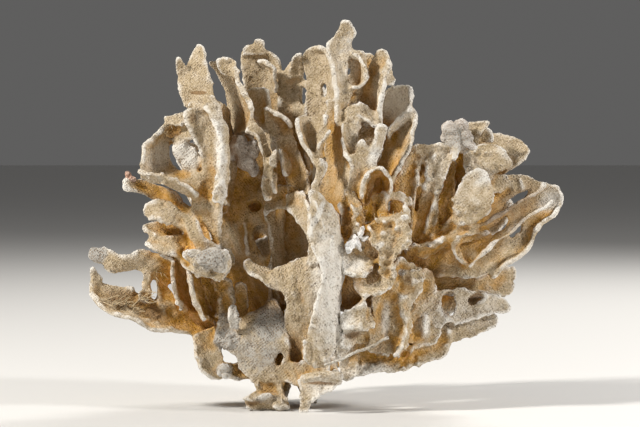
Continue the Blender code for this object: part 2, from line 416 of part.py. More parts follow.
              (-2.4, 52, 20, 5.4, 52, 23), (-1, 60, 20, 6, 60, 22), (0.6, 67, 18, 5.4, 66.6, 20)),
        # its left branch
        frond((-5, 38, 18, 0, 42, 21), (-8.4, 47, 21, -3, 50, 24), (-9.4, 55, 22, -4, 57, 24),
              (-9, 62, 20, -4.6, 63, 22), (-8, 66.6, 18, -5.6, 67, 20)),
        # its right branch
        frond((3, 44, 20, 6, 39, 21), (7.6, 52, 21, 12, 47, 20), (10.4, 58, 19, 15, 54.6, 18),
              (12.2, 62, 16, 15.4, 60.4, 15)),
    ],
    "rear_fin_left": [
        # a plate in depth under the left crown
        frond((-9.6, 42, 6, -11, 42, 18), (-10.6, 50, 7, -12, 50, 18), (-12, 58, 8, -13.4, 58, 17),
              (-13, 65, 8, -14, 65, 14)),
    ],
    "rear_fin_right": [
        # a plate in depth under the right crown
        frond((7.4, 38, 2, 9, 38, 18), (9.4, 47, 3, 11.4, 47, 18), (12, 54, 4, 14.4, 54, 14),
              (13.6, 60, 4, 15.6, 59, 10)),
    ],
    "rear_right": [
        # the stem under the right fan
        frond((0, 15, 11, 3, 9.6, 11), (9, 22, 13, 13, 15, 14), (17.6, 29, 14, 22, 21, 15),
              (25, 37, 13, 30, 29, 14), (30.6, 43, 11, 36.6, 36, 12), (34.6, 45.4, 9, 39, 40, 10)),
        # its upper branch
        frond((15, 28, 13, 21, 26, 15), (18.4, 37, 16, 25, 35, 17), (20.6, 44, 16, 27, 42.6, 16),
              (23.6, 50, 14, 28, 48.6, 14)),
        # its lower branch
        frond((15.6, 21, 14, 18, 15.6, 13), (24, 25, 14, 26, 18.4, 13), (31.4, 27, 11, 33, 21.6, 10)),
        # a plate in depth behind the fan
        frond((14.6, 16, 1, 16, 15, 13), (19, 25, 2, 21.4, 24, 14), (23, 34, 3, 25.6, 33, 14),
              (26, 43, 4, 28.4, 42, 12), (28, 50, 5, 29.4, 49, 10)),
    ],
    "rear_low": [
        # the middle one of three low fronds that bow out at the back
        frond((-8, 6, 13, -0.6, 6, 15), (-9, 14, 19, 1, 14, 21), (-8.6, 24, 24, 2, 24, 26),
              (-7.6, 34, 27, 2, 34, 29), (-6, 41, 28, 0.4, 41, 29)),
    ],
    "rear_low_left": [
        # the left low frond and its web
        frond((-15.4, 33, 15, -13.6, 27, 17), (-11, 33.6, 19, -11.6, 28, 21),
              (-18, 31.4, 26, -18, 27.6, 25.6)),
        frond((-12, 8, 11, -8, 6, 14), (-17.6, 14, 17, -11.6, 12, 21), (-21.6, 22, 21, -14.6, 21, 26),
              (-22.4, 30, 23, -16, 30.6, 28), (-21, 37, 22, -17, 37, 27)),
    ],
    "rear_low_right": [
        # the right low frond and its web
        frond((3.6, 33, 20, 3.4, 28, 22), (9, 34, 20, 9.6, 28, 21), (13, 33, 22, 13, 28, 26)),
        frond((1.4, 6.6, 13, 5, 9, 11), (6, 13, 19, 12, 13, 16), (10, 20, 24, 17, 21, 21),
              (12, 29, 27, 20, 29.6, 24), (13.6, 37, 26, 19, 37.6, 24)),
    ],
}

# Growths on the branches: name, colour, centre (x, z, y), half sizes (x, z, y), tilt about Y in degrees.
GROWTHS = [
    ("grey_nodule", CRUST, (-16.6, 51, -3.4), (3.0, 4.0, 3.0), -25),
    ("grey_cap", CRUST, (25.8, 55.2, -3.4), (2.9, 3.2, 2.6), 20),
    ("knee_crust", CRUST, (-22.8, 30.4, -14.6), (3.2, 2.4, 1.2), -10),
    ("pink_tuft", PINK, (-39.2, 46.5, -6), (1.1, 1.0, 1.2), 0),
    ("foot_blob", CRUST, (-20.3, 8.1, -9.2), (1.5, 1.3, 1.2), 0),
    ("white_chunk_low", CALCITE, (4.9, 33.3, -13.6), (1.5, 1.4, 1.1), 20),
    ("white_chunk_high", CALCITE, (6.9, 35.2, -12.8), (0.8, 1.3, 0.9), 10),
]

# Two thin rods that lie against the foot of the colony: name, colour, radius, points (x, z, y).
RODS = [
    ("worm_tube", CALCITE, 0.55, [(12.1, 14.9, -14.6), (9, 13.5, -14.2), (5.6, 12, -14.2), (1.6, 10.4, -17.4)]),
    ("broken_twig", SKELETON, 1.0, [(-4.6, 7.2, -15.6), (-1.6, 7.8, -15.8), (1, 8.2, -15.4), (2.8, 7.4, -14.4)]),
]


def place(x, z, y):
    """The point in metres, from a width, a height and a depth counted from the front fronds."""
    return Vector((x, y - MIDDLE_DEPTH, z)) * MM


def remove_all():
    for obj in list(bpy.data.objects):
        bpy.data.objects.remove(obj, do_unlink=True)


def new_object(name, mesh, collection):
    obj = bpy.data.objects.new(name, mesh)
    collection.objects.link(obj)
    return obj


def make_cutter(obj):
    obj.hide_render = True
    obj.display_type = "WIRE"
    return obj


def apply_modifiers(obj):
    """Replaces the object's mesh by the one its modifiers give, and returns the object."""
    graph = bpy.context.evaluated_depsgraph_get()
    mesh = bpy.data.meshes.new_from_object(obj.evaluated_get(graph))
    obj.modifiers.clear()
    obj.data = mesh
    return obj


def boolean(obj, operation, tools):
    """Joins or cuts the object with the tool objects one after another, and removes the tools.
    Where many thin walls cross, the exact solver leaves open seams, so this is the manifold one."""
    for tool in tools:
        step = obj.modifiers.new(operation.title(), "BOOLEAN")
        step.operation = operation
        step.solver = "MANIFOLD"
        step.object = tool
        apply_modifiers(obj)
        bpy.data.objects.remove(tool, do_unlink=True)


def grown_strip(name, stations, collection, grow):
    """An open strip grown edge by edge up its two rails, then thickened to a closed wall."""
    bm = bmesh.new()
    rails = []
    for xl, zl, yl, xr, zr, yr in stations:
        left, right = place(xl, zl, yl), place(xr, zr, yr)
        out = (right - left).normalized() * (EDGE_SPREAD + grow) * MM
        rails.append((left - out, right + out))
    start, end = rails[0], rails[-1]
    lead = (sum(start, Vector()) - sum(rails[1], Vector())).normalized() * grow * MM
    tail = (sum(end, Vector()) - sum(rails[-2], Vector())).normalized() * grow * MM
    rails[0] = tuple(point + lead for point in start)
    rails[-1] = tuple(point + tail for point in end)
    left, right = (bm.verts.new(point) for point in rails[0])
    edge = bm.edges.new((left, right))
    for left_point, right_point in rails[1:]:
        grown = bmesh.ops.extrude_edge_only(bm, edges=[edge])["geom"]
        edge = next(item for item in grown if isinstance(item, bmesh.types.BMEdge) and left not in item.verts
                    and right not in item.verts)
        next_left = next(v for v in edge.verts if any(e.other_vert(v) is left for e in v.link_edges))
        next_right = edge.other_vert(next_left)
        next_left.co, next_right.co = left_point, right_point
        left, right = next_left, next_right
    mesh = bpy.data.meshes.new(name)
    bm.to_mesh(mesh)
    bm.free()
    strip = new_object(name, mesh, collection)
    wall = strip.modifiers.new("Wall", "SOLIDIFY")
    wall.thickness = (WALL + 2 * grow) * MM
    wall.offset = 0
    wall.use_even_offset = False
    return apply_modifiers(strip)


def hole_cutter(x, z, half_width, half_height, tilt, collection):
    """An elliptical bar along Y, as long as the colony is deep."""
    bm = bmesh.new()
    bmesh.ops.create_cone(bm, cap_ends=True, segments=CUTTER_SIDES, radius1=MM, radius2=MM, depth=SHEET_DEPTH * MM)
    bmesh.ops.scale(bm, vec=(half_width, half_height, 1), verts=bm.verts)
    turn = Matrix.Rotation(radians(-tilt), 4, "Y") @ Matrix.Rotation(pi / 2, 4, "X")
    bmesh.ops.transform(bm, matrix=Matrix.Translation(place(x, z, 0)) @ turn, verts=bm.verts)
    mesh = bpy.data.meshes.new("hole")
    bm.to_mesh(mesh)
    bm.free()
    return make_cutter(new_object("hole", mesh, collection))


def ribbon(spec, collection, grow=0.0):
    """A frond's closed wall with its holes. A grown one, used as a cutter, stays whole."""
    strip = grown_strip("ribbon", spec["stations"], collection, grow)
    if not grow:
        boolean(strip, "DIFFERENCE", [hole_cutter(*hole, collection) for hole in spec["holes"]])
    return strip


def corners(obj):
    xs, ys, zs = zip(*(v.co for v in obj.data.vertices))
    return Vector((min(xs), min(ys), min(zs))), Vector((max(xs), max(ys), max(zs)))


def boxes_meet(a, b):
    (low_a, high_a), (low_b, high_b) = a, b
    return all(low_a[i] <= high_b[i] and low_b[i] <= high_a[i] for i in range(3))


def keep_largest_body(obj):
    """Drops the crumbs that a cut leaves loose, and any bubble sealed inside."""
    bm = bmesh.new()
    bm.from_mesh(obj.data)
    unseen, bodies = set(bm.verts), []
    while unseen:
        stack, body = [unseen.pop()], []
        while stack:
            vert = stack.pop()
            body.append(vert)
            for edge in vert.link_edges:
                other = edge.other_vert(vert)
                if other in unseen:
                    unseen.discard(other)
                    stack.append(other)
        bodies.append(body)
    bodies.sort(key=size_of_body)
    for body in bodies[:-1]:
        bmesh.ops.delete(bm, geom=body, context="VERTS")
    bm.to_mesh(obj.data)
    bm.free()


def size_of_body(verts):
    """The length of the diagonal of the box round a loose body."""
    xs, ys, zs = zip(*(v.co for v in verts))
    return Vector((max(xs) - min(xs), max(ys) - min(ys), max(zs) - min(zs))).length


def finish_material(obj, colour, roughness=0.85):
    material = bpy.data.materials.new(obj.name)
    material.use_nodes = True
    shader = material.node_tree.nodes["Principled BSDF"]
    shader.inputs["Base Color"].default_value = (*colour, 1)
    shader.inputs["Roughness"].default_value = roughness
    shader.inputs["Metallic"].default_value = 0
    obj.data.materials.clear()
    obj.data.materials.append(material)


def level_cut(collection):
    """The block under the colony: what reaches below z = 0 is cut off level."""
    bm = bmesh.new()
    bmesh.ops.create_cube(bm, size=GROUND_SIZE * MM)
    bmesh.ops.translate(bm, vec=(0, 0, -GROUND_SIZE * MM / 2), verts=bm.verts)
    mesh = bpy.data.meshes.new("level")
    bm.to_mesh(mesh)
    bm.free()
    return make_cutter(new_object("level", mesh, collection))


def grow_branch(name, specs, grown_before, parts, tools):
    """Fuses a branch's ribbons, clears it from the branches before it, and levels its foot."""
    first, *others = [ribbon(spec, tools) for spec in specs]
    first.name = name
    tools.objects.unlink(first)
    parts.objects.link(first)
    boolean(first, "UNION", others)
    if corners(first)[0].z < 0:
        boolean(first, "DIFFERENCE", [level_cut(tools)])
    clear(first, grown_before, tools)
    keep_largest_body(first)
    finish_material(first, SKELETON)
    return first


def clear(obj, grown_before, tools):
    """Cuts the object back from every ribbon of the earlier branches, with the gap between them."""
    for spec in grown_before:
        cutter = ribbon(spec, tools, grow=GAP)
        if boxes_meet(corners(obj), corners(cutter)):
            boolean(obj, "DIFFERENCE", [cutter])
        else:
            bpy.data.objects.remove(cutter, do_unlink=True)


def grow_lump(name, colour, centre, half_sizes, tilt, parts, tools, grown_before):
    bm = bmesh.new()
    bmesh.ops.create_icosphere(bm, subdivisions=2, radius=MM)
    bmesh.ops.scale(bm, vec=(half_sizes[0], half_sizes[2], half_sizes[1]), verts=bm.verts)
    turn = Matrix.Rotation(radians(tilt), 4, "Y")
    bmesh.ops.transform(bm, matrix=Matrix.Translation(place(*centre)) @ turn, verts=bm.verts)
    mesh = bpy.data.meshes.new(name)
    bm.to_mesh(mesh)
    bm.free()
    lump = new_object(name, mesh, parts)
    clear(lump, grown_before, tools)
    keep_largest_body(lump)
    finish_material(lump, colour)


def lay_rod(name, colour, radius, points, parts, tools, grown_before):
    curve = bpy.data.curves.new(name, "CURVE")
    curve.dimensions = "3D"
    curve.bevel_depth = radius * MM
    curve.bevel_resolution = 1
    curve.use_fill_caps = True
    line = curve.splines.new("POLY")
    line.points.add(len(points) - 1)
    for point, spot in zip(line.points, points):
        point.co = (*place(*spot), 1)
    rod = new_object("rod", curve, tools)
    graph = bpy.context.evaluated_depsgraph_get()
    mesh = bpy.data.meshes.new_from_object(rod.evaluated_get(graph))
    bpy.data.objects.remove(rod, do_unlink=True)
    bm = bmesh.new()
    bm.from_mesh(mesh)
    bmesh.ops.remove_doubles(bm, verts=bm.verts, dist=0.02 * MM)
    bmesh.ops.recalc_face_normals(bm, faces=bm.faces)
    bm.to_mesh(mesh)
    bm.free()
    piece = new_object(name, mesh, parts)
    clear(piece, grown_before, tools)
    keep_largest_body(piece)
    finish_material(piece, colour)


def build():
    remove_all()
    parts = bpy.data.collections.new("bryozoan_colony")
    tools = bpy.data.collections.new("cutters")
    for collection in (parts, tools):
        bpy.context.scene.collection.children.link(collection)
    grown = []
    for name, specs in BRANCHES.items():
        grow_branch(name, specs, grown, parts, tools)
        grown += specs
    for name, colour, centre, half_sizes, tilt in GROWTHS:
        grow_lump(name, colour, centre, half_sizes, tilt, parts, tools, grown)
    for name, colour, radius, points in RODS:
        lay_rod(name, colour, radius, points, parts, tools, grown)


build()
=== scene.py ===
"""A dried bryozoan colony: a bush of flat limestone fronds, fused where they meet, on a stalk cut off level.

The limbs come first, then the growths that sit on them, then the weathering and the painted light and shade
that all of them share.
Widths, heights and depths are in millimetres: x to the right, z up, y to the back from the front fronds.
"""

from math import cos, radians, sin
from random import Random

import bmesh
import bpy
import numpy as np
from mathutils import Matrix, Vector, noise


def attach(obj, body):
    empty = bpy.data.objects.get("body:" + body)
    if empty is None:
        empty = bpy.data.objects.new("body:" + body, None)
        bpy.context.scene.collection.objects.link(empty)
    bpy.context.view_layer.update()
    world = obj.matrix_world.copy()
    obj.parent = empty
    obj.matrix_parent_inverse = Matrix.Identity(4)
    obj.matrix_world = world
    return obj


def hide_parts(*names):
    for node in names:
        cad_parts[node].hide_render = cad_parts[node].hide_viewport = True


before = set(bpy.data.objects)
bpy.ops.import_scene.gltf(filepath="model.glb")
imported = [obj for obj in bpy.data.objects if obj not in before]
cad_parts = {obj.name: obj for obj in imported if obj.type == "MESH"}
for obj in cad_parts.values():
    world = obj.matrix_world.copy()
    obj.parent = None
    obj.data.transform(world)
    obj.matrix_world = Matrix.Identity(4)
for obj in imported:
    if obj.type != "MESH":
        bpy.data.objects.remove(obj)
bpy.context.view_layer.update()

# ---------------------------------------------------------------- floor, light and camera
# A pale table top, a key light high on the left, a weaker one on the right and a soft one behind, and a long
# lens that looks at the colony's front from just above level.

MM = 0.001
FLOOR_SIZE = 12.0
FLOOR_COLOUR = (0.74, 0.73, 0.71)
SKY_COLOUR = (0.88, 0.87, 0.86, 1)
SKY_STRENGTH = 0.13
LENS_MM = 150
SENSOR_MM = 36
VIEW_WIDTH_MM = 128.0  # what the frame takes in at the front fronds
AIM_MM = (-1.4, -10.0, 39.1)
CAMERA_RISE = radians(1.5)


def plain_material(name, colour, roughness):
    material = bpy.data.materials.new(name)
    material.use_nodes = True
    shader = material.node_tree.nodes["Principled BSDF"]
    shader.inputs["Base Color"].default_value = (*colour, 1)
    shader.inputs["Roughness"].default_value = roughness
    return material


def soft_light(name, position, size, watts, colour):
    lamp = bpy.data.lights.new(name, "AREA")
    lamp.shape = "DISK"
    lamp.size = size
    lamp.energy = watts
    lamp.color = colour
    light = bpy.data.objects.new(name, lamp)
    bpy.context.scene.collection.objects.link(light)
    light.location = position
    light.rotation_euler = (Vector(AIM_MM) * MM - Vector(position)).to_track_quat("-Z", "Y").to_euler()


bpy.ops.object.select_all(action="DESELECT")
bpy.ops.mesh.primitive_plane_add(size=FLOOR_SIZE, location=(0, 0, 0))
floor = bpy.context.object
floor.name = "floor"
floor.data.materials.append(plain_material("table_top", FLOOR_COLOUR, 0.6))

world = bpy.data.worlds.new("studio")
bpy.context.scene.world = world
world.use_nodes = True
sky = world.node_tree.nodes["Background"]
sky.inputs["Color"].default_value = SKY_COLOUR
sky.inputs["Strength"].default_value = SKY_STRENGTH

soft_light("key", (-0.50, -0.25, 0.46), 0.09, 5.8, (1.0, 0.97, 0.92))
soft_light("side", (0.52, -0.22, 0.28), 0.09, 2.4, (1.0, 0.98, 0.96))
soft_light("back", (0.25, 0.45, 0.45), 0.20, 2.4, (1.0, 0.98, 0.95))

lens = bpy.data.cameras.new("camera")
lens.lens = LENS_MM
lens.sensor_width = SENSOR_MM
lens.clip_start = 0.01
lens.clip_end = 50
camera = bpy.data.objects.new("camera", lens)
bpy.context.scene.collection.objects.link(camera)
camera_distance = VIEW_WIDTH_MM * LENS_MM / SENSOR_MM * MM
aim = Vector(AIM_MM) * MM
camera.location = aim + Vector((0, -cos(CAMERA_RISE), sin(CAMERA_RISE))) * camera_distance
camera.rotation_euler = (aim - camera.location).to_track_quat("-Z", "Y").to_euler()
bpy.context.scene.camera = camera
bpy.context.scene.view_settings.view_transform = "Standard"


# ---------------------------------------------------------------- left limb
# The tall spire on the left with the plate that runs round its window, and the lobes and the crusted knee
# under it. It is one limb of limestone wall, grown as flat fronds that fused edge to face where they touched.

MIDDLE_DEPTH = 5.55  # the front fronds' middle lies this far before the colony's
RIM = 0.98  # thickness of a frond along its edges and round its holes
WALL = 0.6  # thickness of its face, as a part of the rim's
FACE_SHARE = 0.12  # how much of the rim's swelling the face takes part in
RIM_WIDTH = 1.4
CUP = 0.13  # how deep a face is dished, as a part of its width
RAGGED = 0.42
LUMP = 2.6  # how far apart the rim swells and thins
SWELL = 0.24  # how far the growth fills a corner where two fronds meet
SMALLEST_HOLE = 0.62
GROWTH_START = -6  # how high the point lies that the ribs run out from
BROAD_RIBS = 47  # how many broad ribs a radian holds
FINE_RIBS = 83
FINE_SHARE = 0.7  # how high a fine rib is, as a part of a broad one
RIB_HEIGHT = 0.2
BROAD_BEND = 1.5  # how far the broad warp carries a wall off its place
FINE_BEND = 0.5
WIDE_FROND = 12.0  # a frond wider than this is divided once more
SMALLEST_BIT = 2500  # points; what is smaller and touches nothing falls off
CRUMB_SIZES = (0.2, 0.5)
BIG_CRUMB = 1.7  # how much bigger one crumb in seven is
BIG_CRUMB_SHARE = 0.15
limbs = []


def place(x, z, y):
    return Vector((x, y - MIDDLE_DEPTH, z)) * MM


def take_up(*objects):
    """Selects just these objects, with the first of them active."""
    bpy.ops.object.select_all(action="DESELECT")
    for obj in objects:
        obj.select_set(True)
    bpy.context.view_layer.objects.active = objects[0]


def edit(obj):
    """Opens the object in edit mode with nothing selected, and returns its mesh for picking."""
    take_up(obj)
    bpy.ops.object.mode_set(mode="EDIT")
    bpy.ops.mesh.select_all(action="DESELECT")
    return bmesh.from_edit_mesh(obj.data)


def close_edit():
    bpy.ops.object.mode_set(mode="OBJECT")


def pick(obj, verts):
    """Selects just these points of the mesh in edit mode."""
    bpy.ops.mesh.select_all(action="DESELECT")
    for vert in verts:
        vert.select = True
    mesh = bmesh.from_edit_mesh(obj.data)
    mesh.select_flush(True)
    bmesh.update_edit_mesh(obj.data)


def apply(obj, kind, **settings):
    """Adds a modifier with these settings and applies it."""
    take_up(obj)
    step = obj.modifiers.new(kind.title(), kind)
    for name, value in settings.items():
        setattr(step, name, value)
    bpy.ops.object.modifier_apply(modifier=step.name)


def clouds(name, size, depth=2):
    """A cloud pattern whose billows are this many millimetres across."""
    pattern = bpy.data.textures.new(name, "CLOUDS")
    pattern.noise_scale = size * MM
    pattern.noise_depth = depth
    pattern.cloud_type = "COLOR"
    return pattern


BROAD_WARP = clouds("broad_warp", 6.0)
FINE_WARP = clouds("fine_warp", 1.8)
GRAIN = clouds("grain", 0.6, 3)
CRUMBLE = clouds("crumble", 1.5, 3)


def nearest(verts, point):
    return min(verts, key=lambda vert: (vert.co - point).length_squared)


def grow_strip(stations):
    """A plane whose far edge is extruded from one pair of rail points to the next."""
    rails = [(place(xl, zl, yl), place(xr, zr, yr)) for xl, zl, yl, xr, zr, yr in stations]
    bpy.ops.object.select_all(action="DESELECT")
    bpy.ops.mesh.primitive_plane_add(size=MM)
    strip = bpy.context.object
    mesh = edit(strip)
    corners = sorted(mesh.verts, key=lambda vert: (vert.co.y, vert.co.x))
    for corner, point in zip(corners, (*rails[0], *rails[1])):
        step = point - corner.co
        pick(strip, [corner])
        bpy.ops.transform.translate(value=step)
        mesh = bmesh.from_edit_mesh(strip.data)
        mesh.verts.ensure_lookup_table()
    left, right = rails[1]
    for next_left, next_right in rails[2:]:
        mesh = bmesh.from_edit_mesh(strip.data)
        pick(strip, [nearest(mesh.verts, left), nearest(mesh.verts, right)])
        bpy.ops.mesh.extrude_edges_move(TRANSFORM_OT_translate={"value": next_left - left})
        mesh = bmesh.from_edit_mesh(strip.data)
        grown = [vert for vert in mesh.verts if vert.select]
        far = max(grown, key=lambda vert: (vert.co - next_left).length_squared)
        step = next_right - far.co
        pick(strip, [far])
        bpy.ops.transform.translate(value=step)
        left, right = next_left, next_right
    return strip


def inside(point, hole, spread=1.0):
    """Whether the point, seen from the front, is within an elliptical hole."""
    x, z, half_width, half_height, tilt = hole
    across, up = point.x / MM - x, point.z / MM - z
    turn = radians(tilt)
    along = across * cos(turn) - up * sin(turn)
    over = across * sin(turn) + up * cos(turn)
    return (along / half_width / spread) ** 2 + (over / half_height / spread) ** 2 < 1


def open_hole(frond, hole):
    """Takes out the faces within the hole and eases the edge that is left."""
    mesh = edit(frond)
    bpy.ops.mesh.select_mode(type="FACE")
    for face in mesh.faces:
        face.select = inside(face.calc_center_median(), hole)
    bmesh.update_edit_mesh(frond.data)
    bpy.ops.mesh.delete(type="FACE")
    bpy.ops.mesh.select_mode(type="VERT")
    mesh = bmesh.from_edit_mesh(frond.data)
    pick(frond, [vert for vert in mesh.verts if vert.is_boundary and inside(vert.co, hole, 1.7)])
    bpy.ops.mesh.vertices_smooth(factor=0.5, repeat=3)
    close_edit()


def read_points(mesh):
    points = np.empty(len(mesh.vertices) * 3)
    mesh.vertices.foreach_get("co", points)
    return points.reshape(-1, 3)


def read_normals(mesh):
    normals = np.empty(len(mesh.vertices) * 3)
    mesh.vertex_normals.foreach_get("vector", normals)
    return normals.reshape(-1, 3)


def read_edges(mesh):
    """The numbers of each edge's two points."""
    ends = np.empty(len(mesh.edges) * 2, dtype=np.int64)
    mesh.edges.foreach_get("vertices", ends)
    return ends.reshape(-1, 2)


def mark_rim(frond):
    """Weighs each point by how near it lies to an edge of the frond."""
    mesh = frond.data
    points = read_points(mesh)
    uses = np.zeros(len(mesh.edges), dtype=np.int64)
    loops = np.empty(len(mesh.loops), dtype=np.int64)
    mesh.loops.foreach_get("edge_index", loops)
    np.add.at(uses, loops, 1)
    border = points[np.unique(read_edges(mesh)[uses == 1])]
    group = frond.vertex_groups.new(name="rim")
    near = np.sqrt(((points[:, None, :] - border[None, :, :]) ** 2).sum(2).min(1)) / (RIM_WIDTH * MM)
    for index, weight in enumerate(np.exp(-near ** 2)):
        swelling = 0.75 + 0.45 * noise.noise(Vector(points[index]) / (LUMP * MM))
        thickening = float(weight) * swelling + FACE_SHARE * swelling
        group.add([index], min(1.0, thickening), "REPLACE")


def grow_frond(*stations, holes=(), cup=CUP, rim=RIM, ragged=RAGGED):
    """One frond: a dished strip with holes, thick along its edges and thinner in its face."""
    frond = grow_strip(stations)
    width = max(((Vector(s[:3]) - Vector(s[3:])).length for s in stations))
    bpy.ops.mesh.select_all(action="SELECT")
    bpy.ops.mesh.subdivide(number_cuts=1)
    mesh = bmesh.from_edit_mesh(frond.data)
    mesh.normal_update()
    middle = [vert for vert in mesh.verts if not vert.is_boundary]
    facing = sum(vert.normal.y for vert in middle)
    pick(frond, middle)
    bpy.ops.transform.shrink_fatten(value=width * cup * MM * (1 if facing > 0 else -1))
    close_edit()
    times = 4 if width > WIDE_FROND else 3
    apply(frond, "SUBSURF", levels=times, render_levels=times)
    for x, z, half_width, half_height, tilt in holes:
        open_hole(frond, (x, z, max(half_width, SMALLEST_HOLE), max(half_height, SMALLEST_HOLE), tilt))
    mesh = edit(frond)
    pick(frond, [vert for vert in mesh.verts if vert.is_boundary])
    bpy.ops.transform.vertex_random(offset=ragged * MM, seed=len(stations) * 7 + int(width))
    close_edit()
    mark_rim(frond)
    apply(frond, "SOLIDIFY", thickness=rim * MM, offset=0, use_even_offset=False, vertex_group="rim",
          thickness_vertex_group=WALL)
    return frond


def grow_rib(*points, radius=0.6, taper=0.6):
    """A round ridge, loop or stem along these points, thinner towards its last."""
    line = bpy.data.curves.new("rib", "CURVE")
    line.dimensions = "3D"
    line.bevel_depth = radius * MM
    line.bevel_resolution = 2
    line.use_fill_caps = True
    path = line.splines.new("NURBS")
    path.points.add(len(points) - 1)
    for index, (knot, point) in enumerate(zip(path.points, points)):
        knot.co = (*place(*point), 1)
        knot.radius = 1 + (taper - 1) * index / (len(points) - 1)
    path.order_u = 3
    path.use_endpoint_u = True
    rib = bpy.data.objects.new("rib", line)
    bpy.context.scene.collection.objects.link(rib)
    take_up(rib)
    bpy.ops.object.convert(target="MESH")
    edit(rib)
    bpy.ops.mesh.select_all(action="SELECT")
    bpy.ops.mesh.remove_doubles(threshold=0.02 * MM)
    close_edit()
    return rib


def grow_lump(centre, half_sizes, tilt=0, lumpy=0.5):
    """An uneven lump; centre and half sizes are (x, z, y)."""
    bpy.ops.object.select_all(action="DESELECT")
    bpy.ops.mesh.primitive_ico_sphere_add(subdivisions=4, radius=MM, location=place(*centre))
    lump = bpy.context.object
    half_width, half_height, half_depth = half_sizes
    lump.scale = (half_width, half_depth, half_height)
    lump.rotation_euler = (0, radians(tilt), 0)
    bpy.ops.object.transform_apply(location=True, rotation=True, scale=True)
    apply(lump, "DISPLACE", texture=CRUMBLE, texture_coords="LOCAL", strength=lumpy * min(half_sizes) * MM)
    return lump


def rib_up(limb):
    """Raises faint ribs on the limb that run out from the foot, the way the colony grew."""
    mesh = limb.data
    points = read_points(mesh)
    x, y, z = (points / MM).T
    out = np.hypot(x, z - GROWTH_START)
    # a rib wanders from side to side as it runs out
    turn = np.arctan2(x, z - GROWTH_START) + 0.05 * np.sin(out / 5.3 + y / 4) + y / 90
    ribs = np.sin(turn * BROAD_RIBS + 1.6 * np.sin(out / 9))
    ribs += FINE_SHARE * np.sin(turn * FINE_RIBS + 2.1 * np.sin(out / 6 + 2) + y / 5)
    # and fades in places
    ribs *= 0.6 + 0.4 * np.sin(out / 3.7 + turn * 21)
    points += read_normals(mesh) * (ribs * RIB_HEIGHT / (1 + FINE_SHARE) * MM)[:, None]
    mesh.vertices.foreach_set("co", points.ravel())
    mesh.update()


def scatter_crumbs(limb, spots, seed):
    """Small crumbs stuck to the limb; a spot is a centre (x, z, y), a reach (x, z, y) and a count."""
    chance = Random(seed)
    bpy.ops.object.select_all(action="DESELECT")
    bpy.ops.mesh.primitive_ico_sphere_add(subdivisions=2, radius=MM)
    crumb = bpy.context.object
    apply(crumb, "DISPLACE", texture=CRUMBLE, texture_coords="LOCAL", strength=1.6 * MM)
    crumbs = [limb]
    for centre, reach, count in spots:
        for _ in range(count):
            spot = place(*(c + r * chance.uniform(-1, 1) for c, r in zip(centre, reach)))
            point = limb.closest_point_on_mesh(spot)[1]
            copy = crumb.copy()
            copy.data = crumb.data.copy()
            bpy.context.scene.collection.objects.link(copy)
            copy.location = point
            copy.rotation_euler = (chance.uniform(0, 6), chance.uniform(0, 6), chance.uniform(0, 6))
            size = chance.uniform(*CRUMB_SIZES) * (BIG_CRUMB if chance.random() < BIG_CRUMB_SHARE else 1)
            copy.scale = (size * chance.uniform(0.6, 1.8), size * chance.uniform(0.6, 1.2), size)
            crumbs.append(copy)
    bpy.data.objects.remove(crumb)
    take_up(*crumbs)
    bpy.ops.object.join()
    bpy.ops.object.transform_apply(location=True, rotation=True, scale=True)


def drop_loose(limb, smallest=SMALLEST_BIT):
    """Takes away the bits of fewer points than this that touch nothing."""
    mesh = limb.data
    first, second = read_edges(mesh).T
    label = np.arange(len(mesh.vertices))
    while True:
        low = np.minimum(label[first], label[second])
        known = label.copy()
        np.minimum.at(label, first, low)
        np.minimum.at(label, second, low)
        label = label[label]
        if (label == known).all():
            break
    sizes = np.bincount(label, minlength=len(label))[label]
    if (sizes >= smallest).all():
        return
    edit(limb)
    close_edit()
    mesh.vertices.foreach_set("select", sizes < smallest)
    bpy.ops.object.mode_set(mode="EDIT")
    bpy.ops.mesh.delete(type="VERT")
    close_edit()


def cut_level(limb):
    """Cuts the limb off level at the ground and closes the cut."""
    if min(vert.co.z for vert in limb.data.vertices) > 0:
        return
    edit(limb)
    bpy.ops.mesh.select_all(action="SELECT")
    bpy.ops.mesh.bisect(plane_co=(0, 0, 0.01 * MM), plane_no=(0, 0, 1), use_fill=True, clear_inner=True)
    bpy.ops.mesh.select_all(action="SELECT")
    bpy.ops.mesh.quads_convert_to_tris()
    close_edit()


def join_up(name, pieces):
    """Makes one object of this name from the pieces, unturned and with its origin at the scene's."""
    take_up(*pieces)
    if len(pieces) > 1:
        bpy.ops.object.join()
    joined = bpy.context.object
    joined.name = name
    joined.data.name = name
    bpy.ops.object.transform_apply(location=True, rotation=True, scale=True)
    return joined


